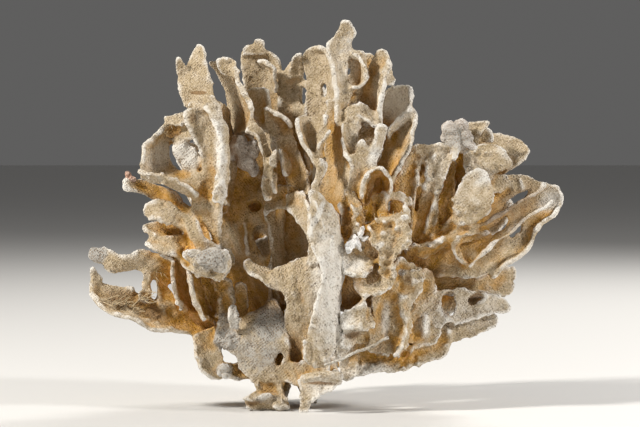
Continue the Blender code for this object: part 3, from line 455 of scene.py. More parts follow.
def fuse(name, pieces, nodes, grain=0.24, ease=3, roughness=0.40, crumble=0.0, crumbs=(), seed=1):
    """Joins the fronds, lets them grow together under one skin, and softens where they meet."""
    limb = join_up(name, pieces)
    limb.vertex_groups.clear()
    apply(limb, "DISPLACE", texture=BROAD_WARP, texture_coords="LOCAL", direction="RGB_TO_XYZ",
        strength=BROAD_BEND * MM)
    apply(limb, "DISPLACE", texture=FINE_WARP, texture_coords="LOCAL", direction="RGB_TO_XYZ",
        strength=FINE_BEND * MM)
    apply(limb, "REMESH", mode="VOXEL", voxel_size=grain * MM)
    if crumble:
        for pattern, share in ((CRUMBLE, 1.0), (GRAIN, 0.6)):
            apply(limb, "DISPLACE", texture=pattern, texture_coords="LOCAL", direction="RGB_TO_XYZ",
                  strength=crumble * share * MM)
    if crumbs:
        scatter_crumbs(limb, crumbs, seed)
    apply(limb, "DISPLACE", mid_level=0, strength=SWELL * MM)
    apply(limb, "REMESH", mode="VOXEL", voxel_size=grain * MM)
    apply(limb, "SMOOTH", factor=0.5, iterations=ease)
    apply(limb, "DISPLACE", mid_level=0, strength=-SWELL * MM)
    apply(limb, "SMOOTH", factor=0.5, iterations=1)
    drop_loose(limb)
    rib_up(limb)
    apply(limb, "DISPLACE", texture=GRAIN, texture_coords="LOCAL", strength=roughness * MM)
    cut_level(limb)
    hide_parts(*nodes)
    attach(limb, "root")
    limbs.append(limb)
    return limb


left_limb_fronds = [
    # the point of the spire
    grow_frond((-27.8, 60, -4.5, -21.6, 60.4, -6), (-29.3, 62.6, -4, -22.6, 63, -5.4),
        (-29.5, 65.6, -3.4, -23.4, 66, -4.6), (-28.4, 68.2, -2.8, -23.9, 69, -3.4),
        (-27, 70.8, -2, -24.4, 71, -2.4), (-25.9, 73, -1.2, -25.3, 72.8, -1.6), cup=0.04),
    # the long face under it, curled forward at its left lip
    grow_frond((-28.4, 59.8, -8.6, -21.6, 61.2, -6.6), (-28.2, 57.4, -9, -21, 58, -7.6),
        (-27, 54, -8.6, -20.8, 54.4, -8.4), (-24.9, 50.4, -7.6, -20.6, 50.2, -9),
        (-25, 46, -8, -20.6, 46, -9.4), (-26.6, 41.6, -8.6, -21, 41.6, -9.4),
        (-27.2, 37, -8.4, -21, 36.6, -9), (-27.5, 31, -8, -20.6, 30, -8),
        holes=[(-24.4, 35.4, 0.9, 2.3, -35)], cup=0.16),
    # its bright right rim, a band of its own in front of the face
    grow_frond((-27.6, 60.8, -5.8, -25.6, 62.8, -5.2), (-24.3, 60.2, -8.2, -22, 61.9, -6.6),
        (-22.3, 57.4, -10.6, -20.1, 57.8, -8.6), (-21.3, 52.2, -12.2, -19.4, 52.2, -10),
        (-21.6, 46.3, -12.7, -19.6, 46.3, -10.6), (-22.4, 41.6, -12.4, -20.5, 41.2, -11), cup=-0.1, rim=1.5),
    # the deep wall behind the band
    grow_frond((-21.4, 62, -7, -19.9, 60, 1), (-20.4, 57, -10, -19.3, 56, 2), (-20.1, 51, -12, -18.6, 51, 3),
        (-20.5, 45, -12.5, -18.8, 45, 3), (-20.9, 41, -12, -20, 40.5, 2)),
    # the side spur
    grow_frond((-29.4, 66, -3.4, -27.8, 67.2, -3.2), (-30, 68.2, -4, -28.6, 68.8, -3.8),
        (-30.5, 70.2, -4.5, -29.7, 70.4, -4.5)),
    # the plate that runs round the window
    grow_frond((-27, 59.6, -6, -26.4, 54.4, -7), (-30.2, 57.8, -5, -28.6, 54, -6),
        (-32.6, 56.6, -6, -31, 53.6, -3.4), (-34.6, 54, -7.4, -31.8, 52.2, -2.6),
        (-36.6, 52.8, -9, -32, 50.8, -2.4), (-36.4, 50.4, -9.4, -31.7, 49.4, -2.6),
        (-37.3, 47.9, -9.6, -30.6, 48, -3.4), (-33.6, 46, -10.5, -28.6, 47.6, -4.6),
        (-29.6, 44.4, -10.4, -26.6, 47.6, -6.4), (-26, 43, -9, -24.3, 47.6, -8),
        holes=[(-30.6, 55.4, 1.8, 1.3, -25)]),
    # the brown pocket behind the hole in its shoulder
    grow_frond((-33.4, 52.6, -2, -27.4, 52.8, -2.4), (-33, 56, -2, -27.2, 56.4, -2.4),
        (-31.4, 58.6, -2.4, -27.6, 59.2, -3)),
    # its white lower lip
    grow_frond((-37.6, 48.4, -11.4, -36.8, 46.4, -9), (-34.5, 47.2, -12.8, -33.6, 45.2, -10),
        (-30.8, 45.8, -12.8, -30.3, 43.8, -10), (-27.4, 44.6, -11.2, -27.2, 42.8, -9),
        (-25.4, 43.4, -10.4, -25.6, 42, -9)),
    # the knob on the plate's shoulder
    grow_frond((-28.2, 59.2, -6, -28.4, 56.9, -6.6), (-30.6, 58.8, -5.4, -30.4, 56.9, -6),
        (-32.2, 58.8, -4.6, -32, 57, -4.8)),
    # the pale lobe seen through the window, on its own stem
    grow_frond((-23.5, 38, 3, -19.5, 39, 3), (-25, 43, 2, -20.5, 44, 3), (-28.5, 47, 0.6, -23, 46.6, 2.4),
        (-30.8, 50, -0.6, -25.4, 49.6, 0.8), (-30, 52.6, -0.6, -26.4, 53.2, 0.6)),
    grow_frond((-25.2, 41, -0.6, -20.6, 41, 0.2), (-26, 46, 5, -20.5, 46, 6.4), (-25.5, 53, 8, -21.5, 53, 9),
        (-24.8, 58, 9, -22.8, 58, 10)),
    # the upper branchlet with the pink growth on its tip
    grow_frond((-26.6, 39.2, -8.6, -28, 36, -8.8), (-30.2, 42.6, -6, -31.5, 38.5, -6),
        (-33.3, 44.6, -5, -34.8, 41.8, -6), (-36.4, 45.6, -5, -36.8, 43.1, -7),
        (-39, 46, -6, -39.3, 43.6, -7), (-40.4, 45.8, -6, -41, 43.9, -7)),
    # the white lobe under it
    grow_frond((-27.6, 38.6, -9, -27.2, 34.6, -8), (-30.4, 41, -9, -30.3, 37.2, -9),
        (-33.6, 42.4, -9, -32.8, 37.6, -10), (-35.4, 41.6, -9, -35, 38.3, -10),
        (-36.3, 40.3, -9, -36, 39.3, -9)),
    # the hollow spur
    grow_frond((-29, 37.4, -5, -28.8, 34.8, -6), (-32, 37.6, -5, -31.8, 34.9, -7),
        (-34.6, 37.6, -6, -34.2, 35.2, -8), (-36.3, 37, -7, -35.8, 35.8, -8)),
    # the ear
    grow_frond((-27.6, 34.6, -7, -28.2, 31.6, -8), (-30.8, 35, -8, -31, 31.4, -10),
        (-33.8, 34.8, -8, -33.4, 31.9, -10), (-35.6, 34, -8, -35, 32.8, -9)),
    grow_frond((-36.1, 33.8, -9, -35.6, 33, -4), (-34.4, 32.1, -10.5, -34, 31.5, -4),
        (-31.6, 30.9, -10.5, -31.5, 30.4, -4), (-29.2, 30.2, -10, -29.2, 29.6, -5)),
    # the strap from the spire down into the knee
    grow_frond((-28.6, 38.4, -8, -26.4, 39.4, -8.5), (-28.2, 35.6, -9.5, -25.8, 36.4, -10),
        (-26.4, 33, -10.5, -23.6, 34, -10.5), (-23.6, 30.6, -10, -20.6, 32.4, -9.5)),
    # a crusted shelf that leans out towards the front
    grow_frond((-29.2, 30.2, -8, -28.6, 28.7, -11), (-26.6, 32.4, -9, -25.6, 27.9, -13.5),
        (-23.4, 33.3, -9, -23, 26.9, -14), (-20.6, 32.6, -7, -20.8, 26.2, -12),
        (-18.6, 31, -4, -19, 28.4, -7)),
    # the knee's own stem, down to the base
    grow_frond((-26.6, 30, -8, -20.4, 31, -6), (-25, 25, -4, -20.4, 26, -3), (-23.8, 20, -3, -18, 20, -1),
        (-22, 15, -2, -15, 14, -1)),
    # the crust on the knee
    grow_lump((-23.4, 30.6, -13.8), (3.0, 2.2, 1.1), -10),
    grow_lump((-20.6, 29.4, -12.6), (1.6, 2.2, 1.0), 20, lumpy=0.9),
    grow_lump((-26.4, 31.0, -12.4), (2.3, 1.3, 0.9), 25, lumpy=0.9),
    # the pale ball in the window
    grow_lump((-28.7, 51.4, -5.6), (2.5, 2.2, 1.4), 30, lumpy=1.2),
    grow_lump((-27.0, 49.6, -5.8), (2.3, 2.0, 1.5), -20, lumpy=1.2),
    # the raised lip of the crack in the spire
    grow_rib((-27.2, 62.6, -5), (-26, 62.1, -5.6), (-24.9, 62.7, -5.6), radius=0.3),
]

left_limb = fuse("left_limb", left_limb_fronds, ["left_spire", "left_window_lobe", "left_lobes", "left_knee"],
    crumbs=[((-30.5, 55.5, -4), (2.4, 2, 2), 14), ((-33, 46.5, -11), (4.5, 1.2, 1.5), 40),
    ((-23, 30, -13.6), (3.5, 2.4, 1.5), 60), ((-26, 57.5, -7), (1.2, 2, 1), 8),
    ((-33.5, 37.5, -8), (3, 3, 2), 16)], seed=3)

# ---------------------------------------------------------------- left arm
# The arm that reaches out low on the left, a grooved wing under an upper bar, with the foot lobe that hangs
# below. It broke off at its grey tip, and its groove holds dirt.

left_arm_limb_fronds = [
    # the upper arm out to its grey tip
    grow_frond((-30.2, 28.4, -4, -31, 24.6, -3.6), (-33.4, 30.6, -5.2, -33.2, 26.6, -4.2),
        (-36.8, 32, -6, -36, 27.4, -4.6), (-39.4, 30.5, -6.2, -39, 27.8, -4.6),
        (-42, 30.6, -5.6, -42.4, 27.5, -4), (-44.2, 32.5, -4.6, -44.8, 28.3, -3.6),
        (-47.4, 32, -4, -47.6, 30.2, -3.6), holes=[(-45.2, 28.9, 0.5, 0.4, 0)], cup=-0.1),
    # the lower wing, grooved along its length
    grow_frond((-20, 19, -2, -21, 12.5, -3), (-24.6, 19.4, -3, -25.6, 14.6, -5),
        (-28.4, 20.4, -3.6, -28.8, 15.6, -6.6), (-31.6, 21.4, -4, -32, 16.2, -8.4),
        (-34.6, 22, -4, -34.7, 16.2, -10), (-38.2, 22.8, -4, -38.2, 18.2, -10.6),
        (-42, 24.2, -4, -42, 19.4, -9.8), (-45.2, 25.6, -4.4, -45.2, 20.9, -8.6),
        (-47, 26.2, -5.4, -47.1, 22.8, -7.2), cup=0.2),
    # the struts that tie the two together
    grow_frond((-37.2, 28.2, -5.2, -35, 28.2, -4.8), (-36.7, 25, -5.2, -35.6, 25, -5),
        (-37.3, 21.6, -5.6, -35.5, 21.6, -5.4)),
    grow_frond((-34.4, 28, -4.6, -32.8, 28, -4), (-34, 24.6, -4.8, -31.8, 24, -4),
        (-34.2, 20.6, -5, -29.6, 20.4, -4)),
    grow_frond((-44.6, 26.2, -4.6, -46.4, 24.8, -5.4), (-46, 27.2, -5.2, -47, 26, -5.8),
        (-46.7, 28.2, -5.4, -47.2, 27.6, -5.8)),
    # the curved ochre plate behind the rim strip
    grow_frond((-33.8, 31.4, -8, -32.5, 31, -2), (-30.8, 29.8, -9.5, -29, 30, -2),
        (-30.6, 26.5, -9, -28, 26.8, 0), (-29.8, 22.5, -7, -27, 23, 2), (-28, 19, -5, -25, 18.8, 2)),
    # the bright rod and the lens behind it
    grow_frond((-27.3, 28, -9, -24.8, 27.4, -2), (-27, 25, -9.5, -22.6, 24.6, -1),
        (-25.8, 21.4, -9, -22.3, 20.4, 0), (-24.5, 18, -8, -22.6, 18, -1)),
    # the rounded lobe that hangs below the arm
    grow_frond((-27, 14.8, -6, -21.6, 17, -5), (-26.7, 12.6, -7.5, -21, 12.6, -6),
        (-26, 10.4, -8.5, -20.9, 10.4, -7), (-25, 8.3, -8.5, -20.5, 8.6, -7),
        (-23.2, 6.3, -8, -20.6, 6.1, -7)),
    grow_frond((-21.2, 9.4, -7.5, -22, 6.2, -7), (-19.2, 9, -7, -19, 6.1, -7), (-17, 9.2, -3, -16.6, 6.5, -6),
        (-14, 10, -3, -13.6, 6.4, -6)),
    # the pale sheet between the knee and the foot, and a small lobe on it
    grow_frond((-23, 13.2, -7, -16.8, 13.6, -8), (-22.2, 15.8, -6.8, -17.6, 16.2, -7),
        (-20.9, 18.6, -6, -18.2, 18.8, -6), (-21.8, 22.4, -5.4, -18.6, 22.4, -5),
        (-23.2, 26, -5.6, -19.2, 26, -4.4)),
    grow_frond((-19.2, 16, -8.2, -17.6, 16, -8.4), (-19.5, 18.4, -9.6, -17.3, 18.6, -9.2),
        (-18.9, 20.7, -9.2, -18, 20.7, -9)),
    # the smooth tip, and the pale rim along the foot of the wing
    grow_lump((-45.9, 30.8, -3.8), (1.9, 1.5, 1.2), 25, lumpy=0.3),
    grow_rib((-46.9, 23.2, -7.4), (-45, 21.1, -9.2), (-42, 19.6, -10.4), (-38.2, 18.2, -11.2),
        (-34.8, 16.2, -10.4), (-31.4, 16.2, -8.8), radius=0.62, taper=0.8),
    grow_rib((-27, 28, -9.6), (-27.2, 25.6, -10.2), (-26.2, 22, -9.8), (-25, 19.6, -9.2), (-24.4, 18.2, -8.6),
        radius=0.8, taper=0.7),
    grow_lump((-20.3, 8.1, -9.0), (1.4, 1.2, 1.0), 20),
]

left_arm_limb = fuse("left_arm_limb", left_arm_limb_fronds, ["left_arm", "left_foot_lobe", "inner_lobes"],
    crumbs=[((-40, 21.5, -7), (5, 2.4, 2), 50), ((-33, 19, -6), (3, 2, 2), 24), ((-38, 25, -5), (2, 1, 1), 8),
    ((-21, 20, -6.6), (2, 4, 1.4), 30)], seed=5)

# ---------------------------------------------------------------- stalk and feet
# The stalk that carries the colony: the net-crusted foot on the left, the short foot beside it and the wall
# behind. It is cut off level where it stood on its rock.

stalk_fronds = [
    # the sheet with the net crust, and the tongue above it
    grow_frond((-14.4, 5.6, -8, -8.6, 5.6, -8), (-17.6, 8.2, -7.8, -7.7, 8.6, -8.6),
        (-17.8, 11.4, -7.4, -7.7, 11.2, -9), (-22, 13.2, -6.8, -7.7, 13.4, -9.4),
        (-21, 16, -6.2, -8.4, 16.8, -8), (-15.4, 18.6, -5, -9.4, 20, -5.6),
        (-12.6, 20.8, -3.5, -10.2, 21.8, -3.4), holes=[(-9.8, 10.5, 0.8, 1.35, 8)], cup=-0.04),
    # the foot, wider at its toe
    grow_frond((-15, 7.6, -8, -8.2, 7.6, -8), (-13.6, 5, -8, -8.9, 5, -8),
        (-13.9, 3.7, -8.2, -8.7, 3.5, -8.4), (-16.3, 2.5, -9.6, -8.1, 2.1, -9.4),
        (-16.3, 1.2, -9.2, -7.5, 1, -9), (-14.4, -1, -8, -8.2, -1, -8)),
    grow_frond((-13.2, 8, -7, -9.2, 8, 5), (-13, 4, -7, -9.2, 4, 5), (-13.8, -1, -8, -8.4, -1, 6)),
    # the low bridge to the blade
    grow_frond((-9, 10, -8.2, -8.8, 6.2, -8.2), (-6, 9.4, -9.6, -6, 5.2, -9.8),
        (-3, 10.8, -11.6, -3.4, 6, -12), (0.4, 10.8, -12.6, 0.2, 7, -12.8)),
    # the short second foot, and the flat stub on it
    grow_frond((-5.4, 7.4, -12, -4.9, 1.2, -12), (-3, 7.6, -12.5, -2.8, 2.2, -12.5),
        (0, 7.8, -12, 0, 3.8, -12), (3, 8, -11, 2.6, 5.4, -11)),
    grow_frond((-7.8, 13, -6, -7.8, 5, -6), (-5.4, 12, -8, -5.2, 5, -8), (-2, 11, -10, -2, 5, -11),
        (2, 11, -10, 2.4, 6, -11)),
    # a hidden wall that carries the trunk down
    grow_frond((-4.6, 13, -9, -4, 13, 4), (-4.6, 8, -9, -4.4, 8, 6), (-4.6, 3.4, -11.6, -4.4, 3.4, 7)),
    grow_frond((-5, 7, -12, -0.4, 7, -12), (-4.9, 3.4, -12, -2, 3.8, -12), (-4.9, 1.6, -12, -3.4, 1.8, -12),
        (-4.9, -1, -12, -3.6, -1, -12)),
    # the back of the stalk, down to the cut
    grow_frond((-13.4, 30, 9, -2, 32, 13), (-13.6, 20, 8, 1.6, 20, 12), (-14, 10, 7, 1, 10, 11),
        (-13.6, 5, 8, -7.4, 5.4, 12), (-13.4, -1, 9, -8.8, -1, 13)),
    grow_frond((-11.6, 26, 0, -11, 26, 12), (-11, 14, -2, -11, 14, 12), (-10.6, 4, -2, -10.6, 4, 12),
        (-10.6, -1, -1, -10.6, -1, 12)),
    grow_frond((-2.6, 26, -1, -1.4, 27, 13), (-1.6, 14, -3, -0.6, 14, 14), (-1.6, 7, -4, -0.6, 7, 14),
        (-3.4, 4, 4, -2.8, -1, 5), (-3.6, -1, 10, -3, -1, 15)),
    # the ring-shaped lump on the toe
    grow_lump((-9.6, 1.0, -9.4), (1.5, 0.9, 0.9), 0, lumpy=0.7),
    grow_lump((-15.4, 2.3, -9.6), (1.5, 0.6, 0.9), 12, lumpy=0.7),
    grow_lump((-12.4, 2.9, -9.6), (1.9, 0.6, 0.8), -4, lumpy=0.7),
]

fuse("stalk", stalk_fronds, ["net_foot", "front_foot", "rear_trunk"],
    crumbs=[((-12, 2.2, -9), (4.4, 1.6, 1), 26), ((-20, 13.4, -7), (2, 2, 1), 16)], seed=15)

# ---------------------------------------------------------------- inner sheet and left crown
# The broad inner sheet with its eye-shaped hole, which rises into the cups and the curled plate of the left
# crown. It is one wall that curls on itself.

inner_limb_fronds = [
    # the wide recessed sheet
    grow_frond((-20.5, 16, 4, -9, 16, 0), (-21.4, 24, 3, -10, 25, 0), (-22, 30, 3, -10.4, 30, -1),
        (-22.2, 36, 3, -11.4, 36, -1), (-21.4, 41, 4, -10, 41, 0), (-21, 46, 4, -12.6, 45, 4),
        (-20.6, 51, 4, -14.2, 50, 4), (-19.6, 55.5, 4, -15, 55, 1),
        holes=[(-13.3, 33.5, 1.35, 3.3, -20), (-14.4, 40.2, 1.2, 1.1, 0)]),
    # the brown frond that curls up to the left, its bright rim in front
    grow_frond((-19.4, 54, 4, -15.6, 55.6, -6), (-19.3, 58, 4, -14.7, 59, -7),
        (-19.6, 61.5, 4, -15.7, 62, -7), (-20.6, 65, 3, -17.4, 65.4, -6), (-22.2, 67.6, 2, -18.5, 68.4, -4),
        (-23.9, 69.3, 1, -21.5, 69.4, -1)),
    grow_frond((-20.8, 67.3, -2, -17.6, 66.4, -3), (-21.8, 69.3, -3, -18.2, 69.4, -3),
        (-20.4, 70.3, -3, -18.6, 70.4, -3)),
    # the pale ridge, and the back rib beside the eye
    grow_frond((-16.8, 37.4, 1, -17.4, 37, 3), (-16.2, 33.4, 0, -16.9, 33, 3),
        (-15.8, 30.6, 0.6, -16.4, 30, 3), rim=0.8),
    grow_frond((-12.6, 41, -0.6, -8, 42, 4.4), (-11.7, 35.4, -1.6, -9, 35.6, 5), (-11.5, 30, -2, -9, 30, 4.8),
        (-11.7, 25, -2.2, -8, 25, 4.4), cup=-0.12, rim=0.9),
    # the pale leaf low on the left of the sheet
    grow_frond((-18.4, 15.6, 2.6, -15, 15.6, 2), (-18.8, 19.5, -2.6, -15.9, 20, -2),
        (-18.9, 25.2, -4, -16.3, 25.4, -3)),
    # the small cup plate
    grow_frond((-12.6, 55, -0.6, -9.4, 55, -0.6), (-14.8, 58, 1, -11, 58.6, -1),
        (-15.6, 61, 2, -11.4, 61, -1), (-16.6, 64.1, 3, -11.6, 64.2, 0)),
    # the ochre plate below the cup
    grow_frond((-12.2, 59.8, -2, -8.6, 58.4, 0), (-12.6, 57, -1, -7.4, 55.8, 0),
        (-10.6, 53.4, -1, -6, 52.4, -1), (-9, 50, -1, -4.4, 48.6, -3), (-8.2, 45.6, -2, -3.2, 44, -5),
        (-8, 41, -3, -3.4, 40.6, -7)),
    grow_frond((-12.4, 60.3, -4, -12.2, 59.3, 0), (-10.4, 59.5, -4, -10.6, 58.7, 0),
        (-8.4, 58.3, -3.5, -8.6, 57.6, 0), (-7.2, 56.2, -3, -7.5, 55.6, 0)),
    grow_frond((-9.3, 52, -4, -8.9, 51.4, -2), (-8.6, 50, -5, -7.5, 49.6, -3),
        (-8.9, 48.4, -5, -7.5, 48.4, -3), (-8.5, 46.8, -5, -8, 46.8, -3)),
    # the near rim that runs down from the brown frond to two prongs
    grow_frond((-16.8, 55.8, -7.5, -14.4, 57.6, -6), (-14.6, 55.2, -8, -12.9, 55.9, -5),
        (-13.6, 52.6, -8, -12.3, 53, -5), (-13, 50.4, -8, -10.8, 50, -6), (-12.7, 47.4, -7, -10.9, 47.2, -6),
        (-12.6, 45, -6.5, -11.3, 45, -5), (-12.2, 42, -6, -11.4, 42, -5), rim=0.9),
    grow_frond((-11.2, 48, -7.4, -10.1, 47.6, -6), (-10.9, 45.4, -7, -10, 45.2, -5.5),
        (-10.5, 43.4, -6.5, -10, 43.4, -5)),
    grow_frond((-11.6, 48.8, -8, -9.8, 48.6, -7.5), (-11.2, 50.4, -8, -9.8, 50.2, -8),
        (-10.4, 51.9, -8, -9.9, 51.7, -8)),
    # the tall back plate
    grow_frond((-16, 56, 8, -9, 56, 7), (-16.4, 62, 8, -9.4, 61, 7), (-17.2, 67, 8, -9.2, 65.6, 6),
        (-17.5, 70.4, 8, -9.4, 69.2, 6.5), (-17.4, 71.8, 8, -9.8, 70.6, 7),
        (-16.8, 72.9, 8, -12.2, 72.2, 7.5), cup=0.22),
    # two knobs along its top
    grow_frond((-17.3, 71, 7, -14.9, 71, 7), (-17, 72.9, 6.6, -15.2, 73, 7)),
    grow_frond((-14.9, 71.2, 7.4, -12.2, 71, 7.4), (-14.6, 73.2, 7, -12.6, 73.1, 7),
        (-14, 74, 7, -13.2, 74, 7)),
    # the hooked rim on it
    grow_frond((-14, 70, 4, -13.7, 69.4, 6), (-11.8, 69.4, 2, -12.2, 68.4, 5),
        (-10.4, 68.2, 1.5, -11.6, 67.2, 5), (-10.3, 65.6, 2, -11.6, 66, 5), (-10.4, 63.4, 4, -11.2, 64.4, 6)),
    # the broad brown face to its right, with a white knob on top
    grow_frond((-9, 46, 2, -3, 46, -2), (-8.4, 52, 3, -4.6, 52, 0), (-9, 57, 4, -4.2, 57, 2),
        (-10, 62, 5, -3.8, 62, 4), (-9.6, 66, 6, -3.9, 66.4, 5), (-7.4, 69.8, 5, -4.6, 70.8, 4),
        holes=[(-5, 62.4, 0.75, 1.9, 0), (-4.6, 67, 0.45, 1.1, -10)], cup=0.25),
    grow_frond((-8, 66, 6, -4.9, 66.6, 5), (-7.2, 69.6, 3.5, -4.9, 70, 3.5), (-6.4, 70.7, 3, -5, 71, 3)),
    # the dark walls behind the sheet's upper hollow and beside the crown's foot
    grow_frond((-17, 37.6, 3.6, -11.8, 37.6, 1.6), (-17, 40.4, 6.8, -11.6, 40.4, 5.6),
        (-17, 43.6, 4, -11.6, 43.6, 3), rim=0.8),
    grow_frond((-13, 43, 3.8, -6, 43, 1), (-13, 46.5, 5.4, -6, 46.5, 3.4), (-12.4, 50, 5, -5, 50, 2.6),
        rim=0.8),
]

inner_limb = fuse("inner_limb", inner_limb_fronds, ["inner_left", "cup_plate", "near_rim", "crown_left"],
    crumbs=[((-11.6, 48, -7), (1.6, 4, 1.2), 14), ((-18.6, 68.6, -4), (1.8, 1.4, 1), 12)], seed=19)

# ---------------------------------------------------------------- trunk and blade
# The trunk in the middle with its arch, and the tall blade that stands before it and leans over to the front.
# The arch is a thin wall of the same limestone, and the blade is two walls back to back.

trunk_fronds = [
    # the smooth face over the dark mouth, with its arched rim
    grow_frond((-7.4, 11, -7, -3, 11, -8), (-8.8, 14.4, -7.6, -2.6, 14, -9), (-8.4, 18, -8.6, -2, 18, -9.4),
        (-7.9, 21, -9.4, -1.2, 21, -9.8), (-8.8, 23.4, -10, -0.4, 24, -10), (-11.4, 26, -9, -0.6, 27.4, -10),
        (-11.2, 28, -6.6, -3.4, 31, -9), cup=-0.05),
    grow_frond((-16.8, 29.8, -6, -15.4, 30, -6), (-16.4, 27.4, -7, -14.8, 29, -6),
        (-12.6, 26, -9, -12, 28, -6), (-9.6, 24, -10, -9, 26, -8)),
    # the big arch's right side and the pale fold on it
    grow_frond((-3.8, 28.6, -10, -0.6, 30, -11), (-3.6, 33, -9.4, 0, 33, -11.6),
        (-7, 38.4, -8, -2.4, 37, -12), (-8, 40.4, -5, -3.4, 41, -10), (-8.4, 43, -3, -4.6, 44, -6)),
    # the brow over the arch
    grow_frond((-12.6, 38.4, -2, -12.2, 42, 0), (-9.2, 40.4, -3, -9.6, 45, -1),
        (-6.6, 39.6, -5, -5.4, 44.6, -4)),
    # the spur by the dark crack
    grow_frond((-2.2, 24.6, -14.5, -0.4, 26.2, -15), (-4.2, 27, -14.5, -2.6, 28.6, -15),
        (-5.4, 29.6, -14, -4.4, 30.4, -14)),
    # the nearest and brightest blade
    grow_frond((-3, 9.2, -16, -0.6, 9.2, -15.5), (-4.7, 11.4, -16.4, 1.5, 12.4, -14.6),
        (-4, 14.4, -17, 3.3, 15.4, -13.6), (-3.2, 17.4, -17.6, 1.5, 17.8, -14.4),
        (-2.6, 21, -18, 1.5, 21, -14.4), (-1.7, 24.4, -18, 2.3, 24.4, -13.8), (-1, 27, -18, 3.3, 28.2, -12.8),
        (-2, 31, -17.2, 2.7, 31.6, -12.4), (-3.6, 35, -16.4, 2.4, 35.6, -12.4),
        (-3.7, 39, -16, 1.5, 39.2, -12.8), (-3.5, 41.4, -15.8, 0, 41.4, -13.2),
        (-3.8, 43.6, -15.5, -2.2, 43.2, -14), cup=-0.10),
    # the wall that it folds back into on the right
    grow_frond((2.2, 14, -13, 1, 15, -5), (1.7, 20, -14, 0.6, 20, -4), (2.2, 25, -13, 1.4, 25, -3),
        (2.8, 31, -12, 1.6, 31, -3), (2.4, 36.6, -12, 0.6, 37, -3), (0.8, 40.4, -12, -0.6, 41, -4)),
    # the twig above its tip
    grow_frond((-3.7, 42.6, -15, -2, 42.4, -14), (-2.6, 45.6, -13, -1.4, 45.4, -12),
        (-2, 48.6, -12, -0.6, 48.2, -11), (-1.4, 50.2, -11.5, 0, 49.7, -10.5)),
    # the folded cup over the twig: left limb, back, right limb
    grow_frond((-2.6, 48.6, -12, -0.9, 48.8, -10.6), (-3, 50.6, -12, -1.4, 51, -9),
        (-4.3, 52.4, -12, -2.9, 53.2, -8), (-5.4, 55.4, -12, -3.7, 55.6, -7),
        (-5.7, 58.3, -11, -4.3, 58.8, -6), rim=0.85),
    grow_frond((-3.4, 50.4, -9.5, -1, 50.6, -9), (-3.8, 53, -8, -2, 53.2, -9), (-4.6, 55.6, -7, -1, 55.8, -8),
        (-5, 58.2, -6, -0.3, 58.4, -8), rim=0.8),
    grow_frond((-2.3, 52, -9, -2, 51.8, -6), (-1.8, 54, -10, -1.3, 54.2, -5), (-1, 56.4, -10, -0.5, 56.4, -4),
        (-0.4, 58.5, -10, -0.1, 58.4, -4)),
    grow_frond((-1.7, 50.4, -10.5, -1.3, 50.4, -9), (-1.7, 53, -11, -1.2, 52.8, -9),
        (-0.4, 54.6, -11, 0, 54.4, -9), (0, 55.6, -11, 0.2, 55.4, -10)),
    # the dark wall seen through the big arch
    grow_frond((-10, 20, 4, -1, 20, 4), (-10.4, 28, 5, -1, 28, 4), (-10, 35, 6, -1, 35, 5),
        (-9, 43, 5, -1.6, 43, 3)),
    # the pale ridges on the upper part of the blade
    grow_rib((-2.6, 42, -16.3), (-1.6, 39.4, -16.2), (-0.6, 36.6, -15.6), radius=0.38, taper=0.7),
    grow_rib((1.0, 34.8, -14.6), (1.0, 32.4, -15), (0.8, 30, -15.4), radius=0.42, taper=0.7),
    grow_rib((-3.6, 39.6, -16.4), (-3.0, 37, -16.6), (-2.4, 34.4, -16.8), radius=0.3, taper=0.7),
    # the wall behind the foot of the blade
    grow_frond((-0.4, 15, -7, 5, 15, -6), (-0.4, 11.4, -7.4, 4.6, 11.6, -6.4), (0, 8.8, -8, 3.6, 9, -7),
        rim=0.8),
]

fuse("trunk", trunk_fronds, ["front_trunk", "front_blade", "arch_back"],
    crumbs=[((-2, 14, -16), (2.4, 5, 1.4), 26), ((-2.6, 40, -14.6), (2, 3, 1.4), 12)], seed=13)
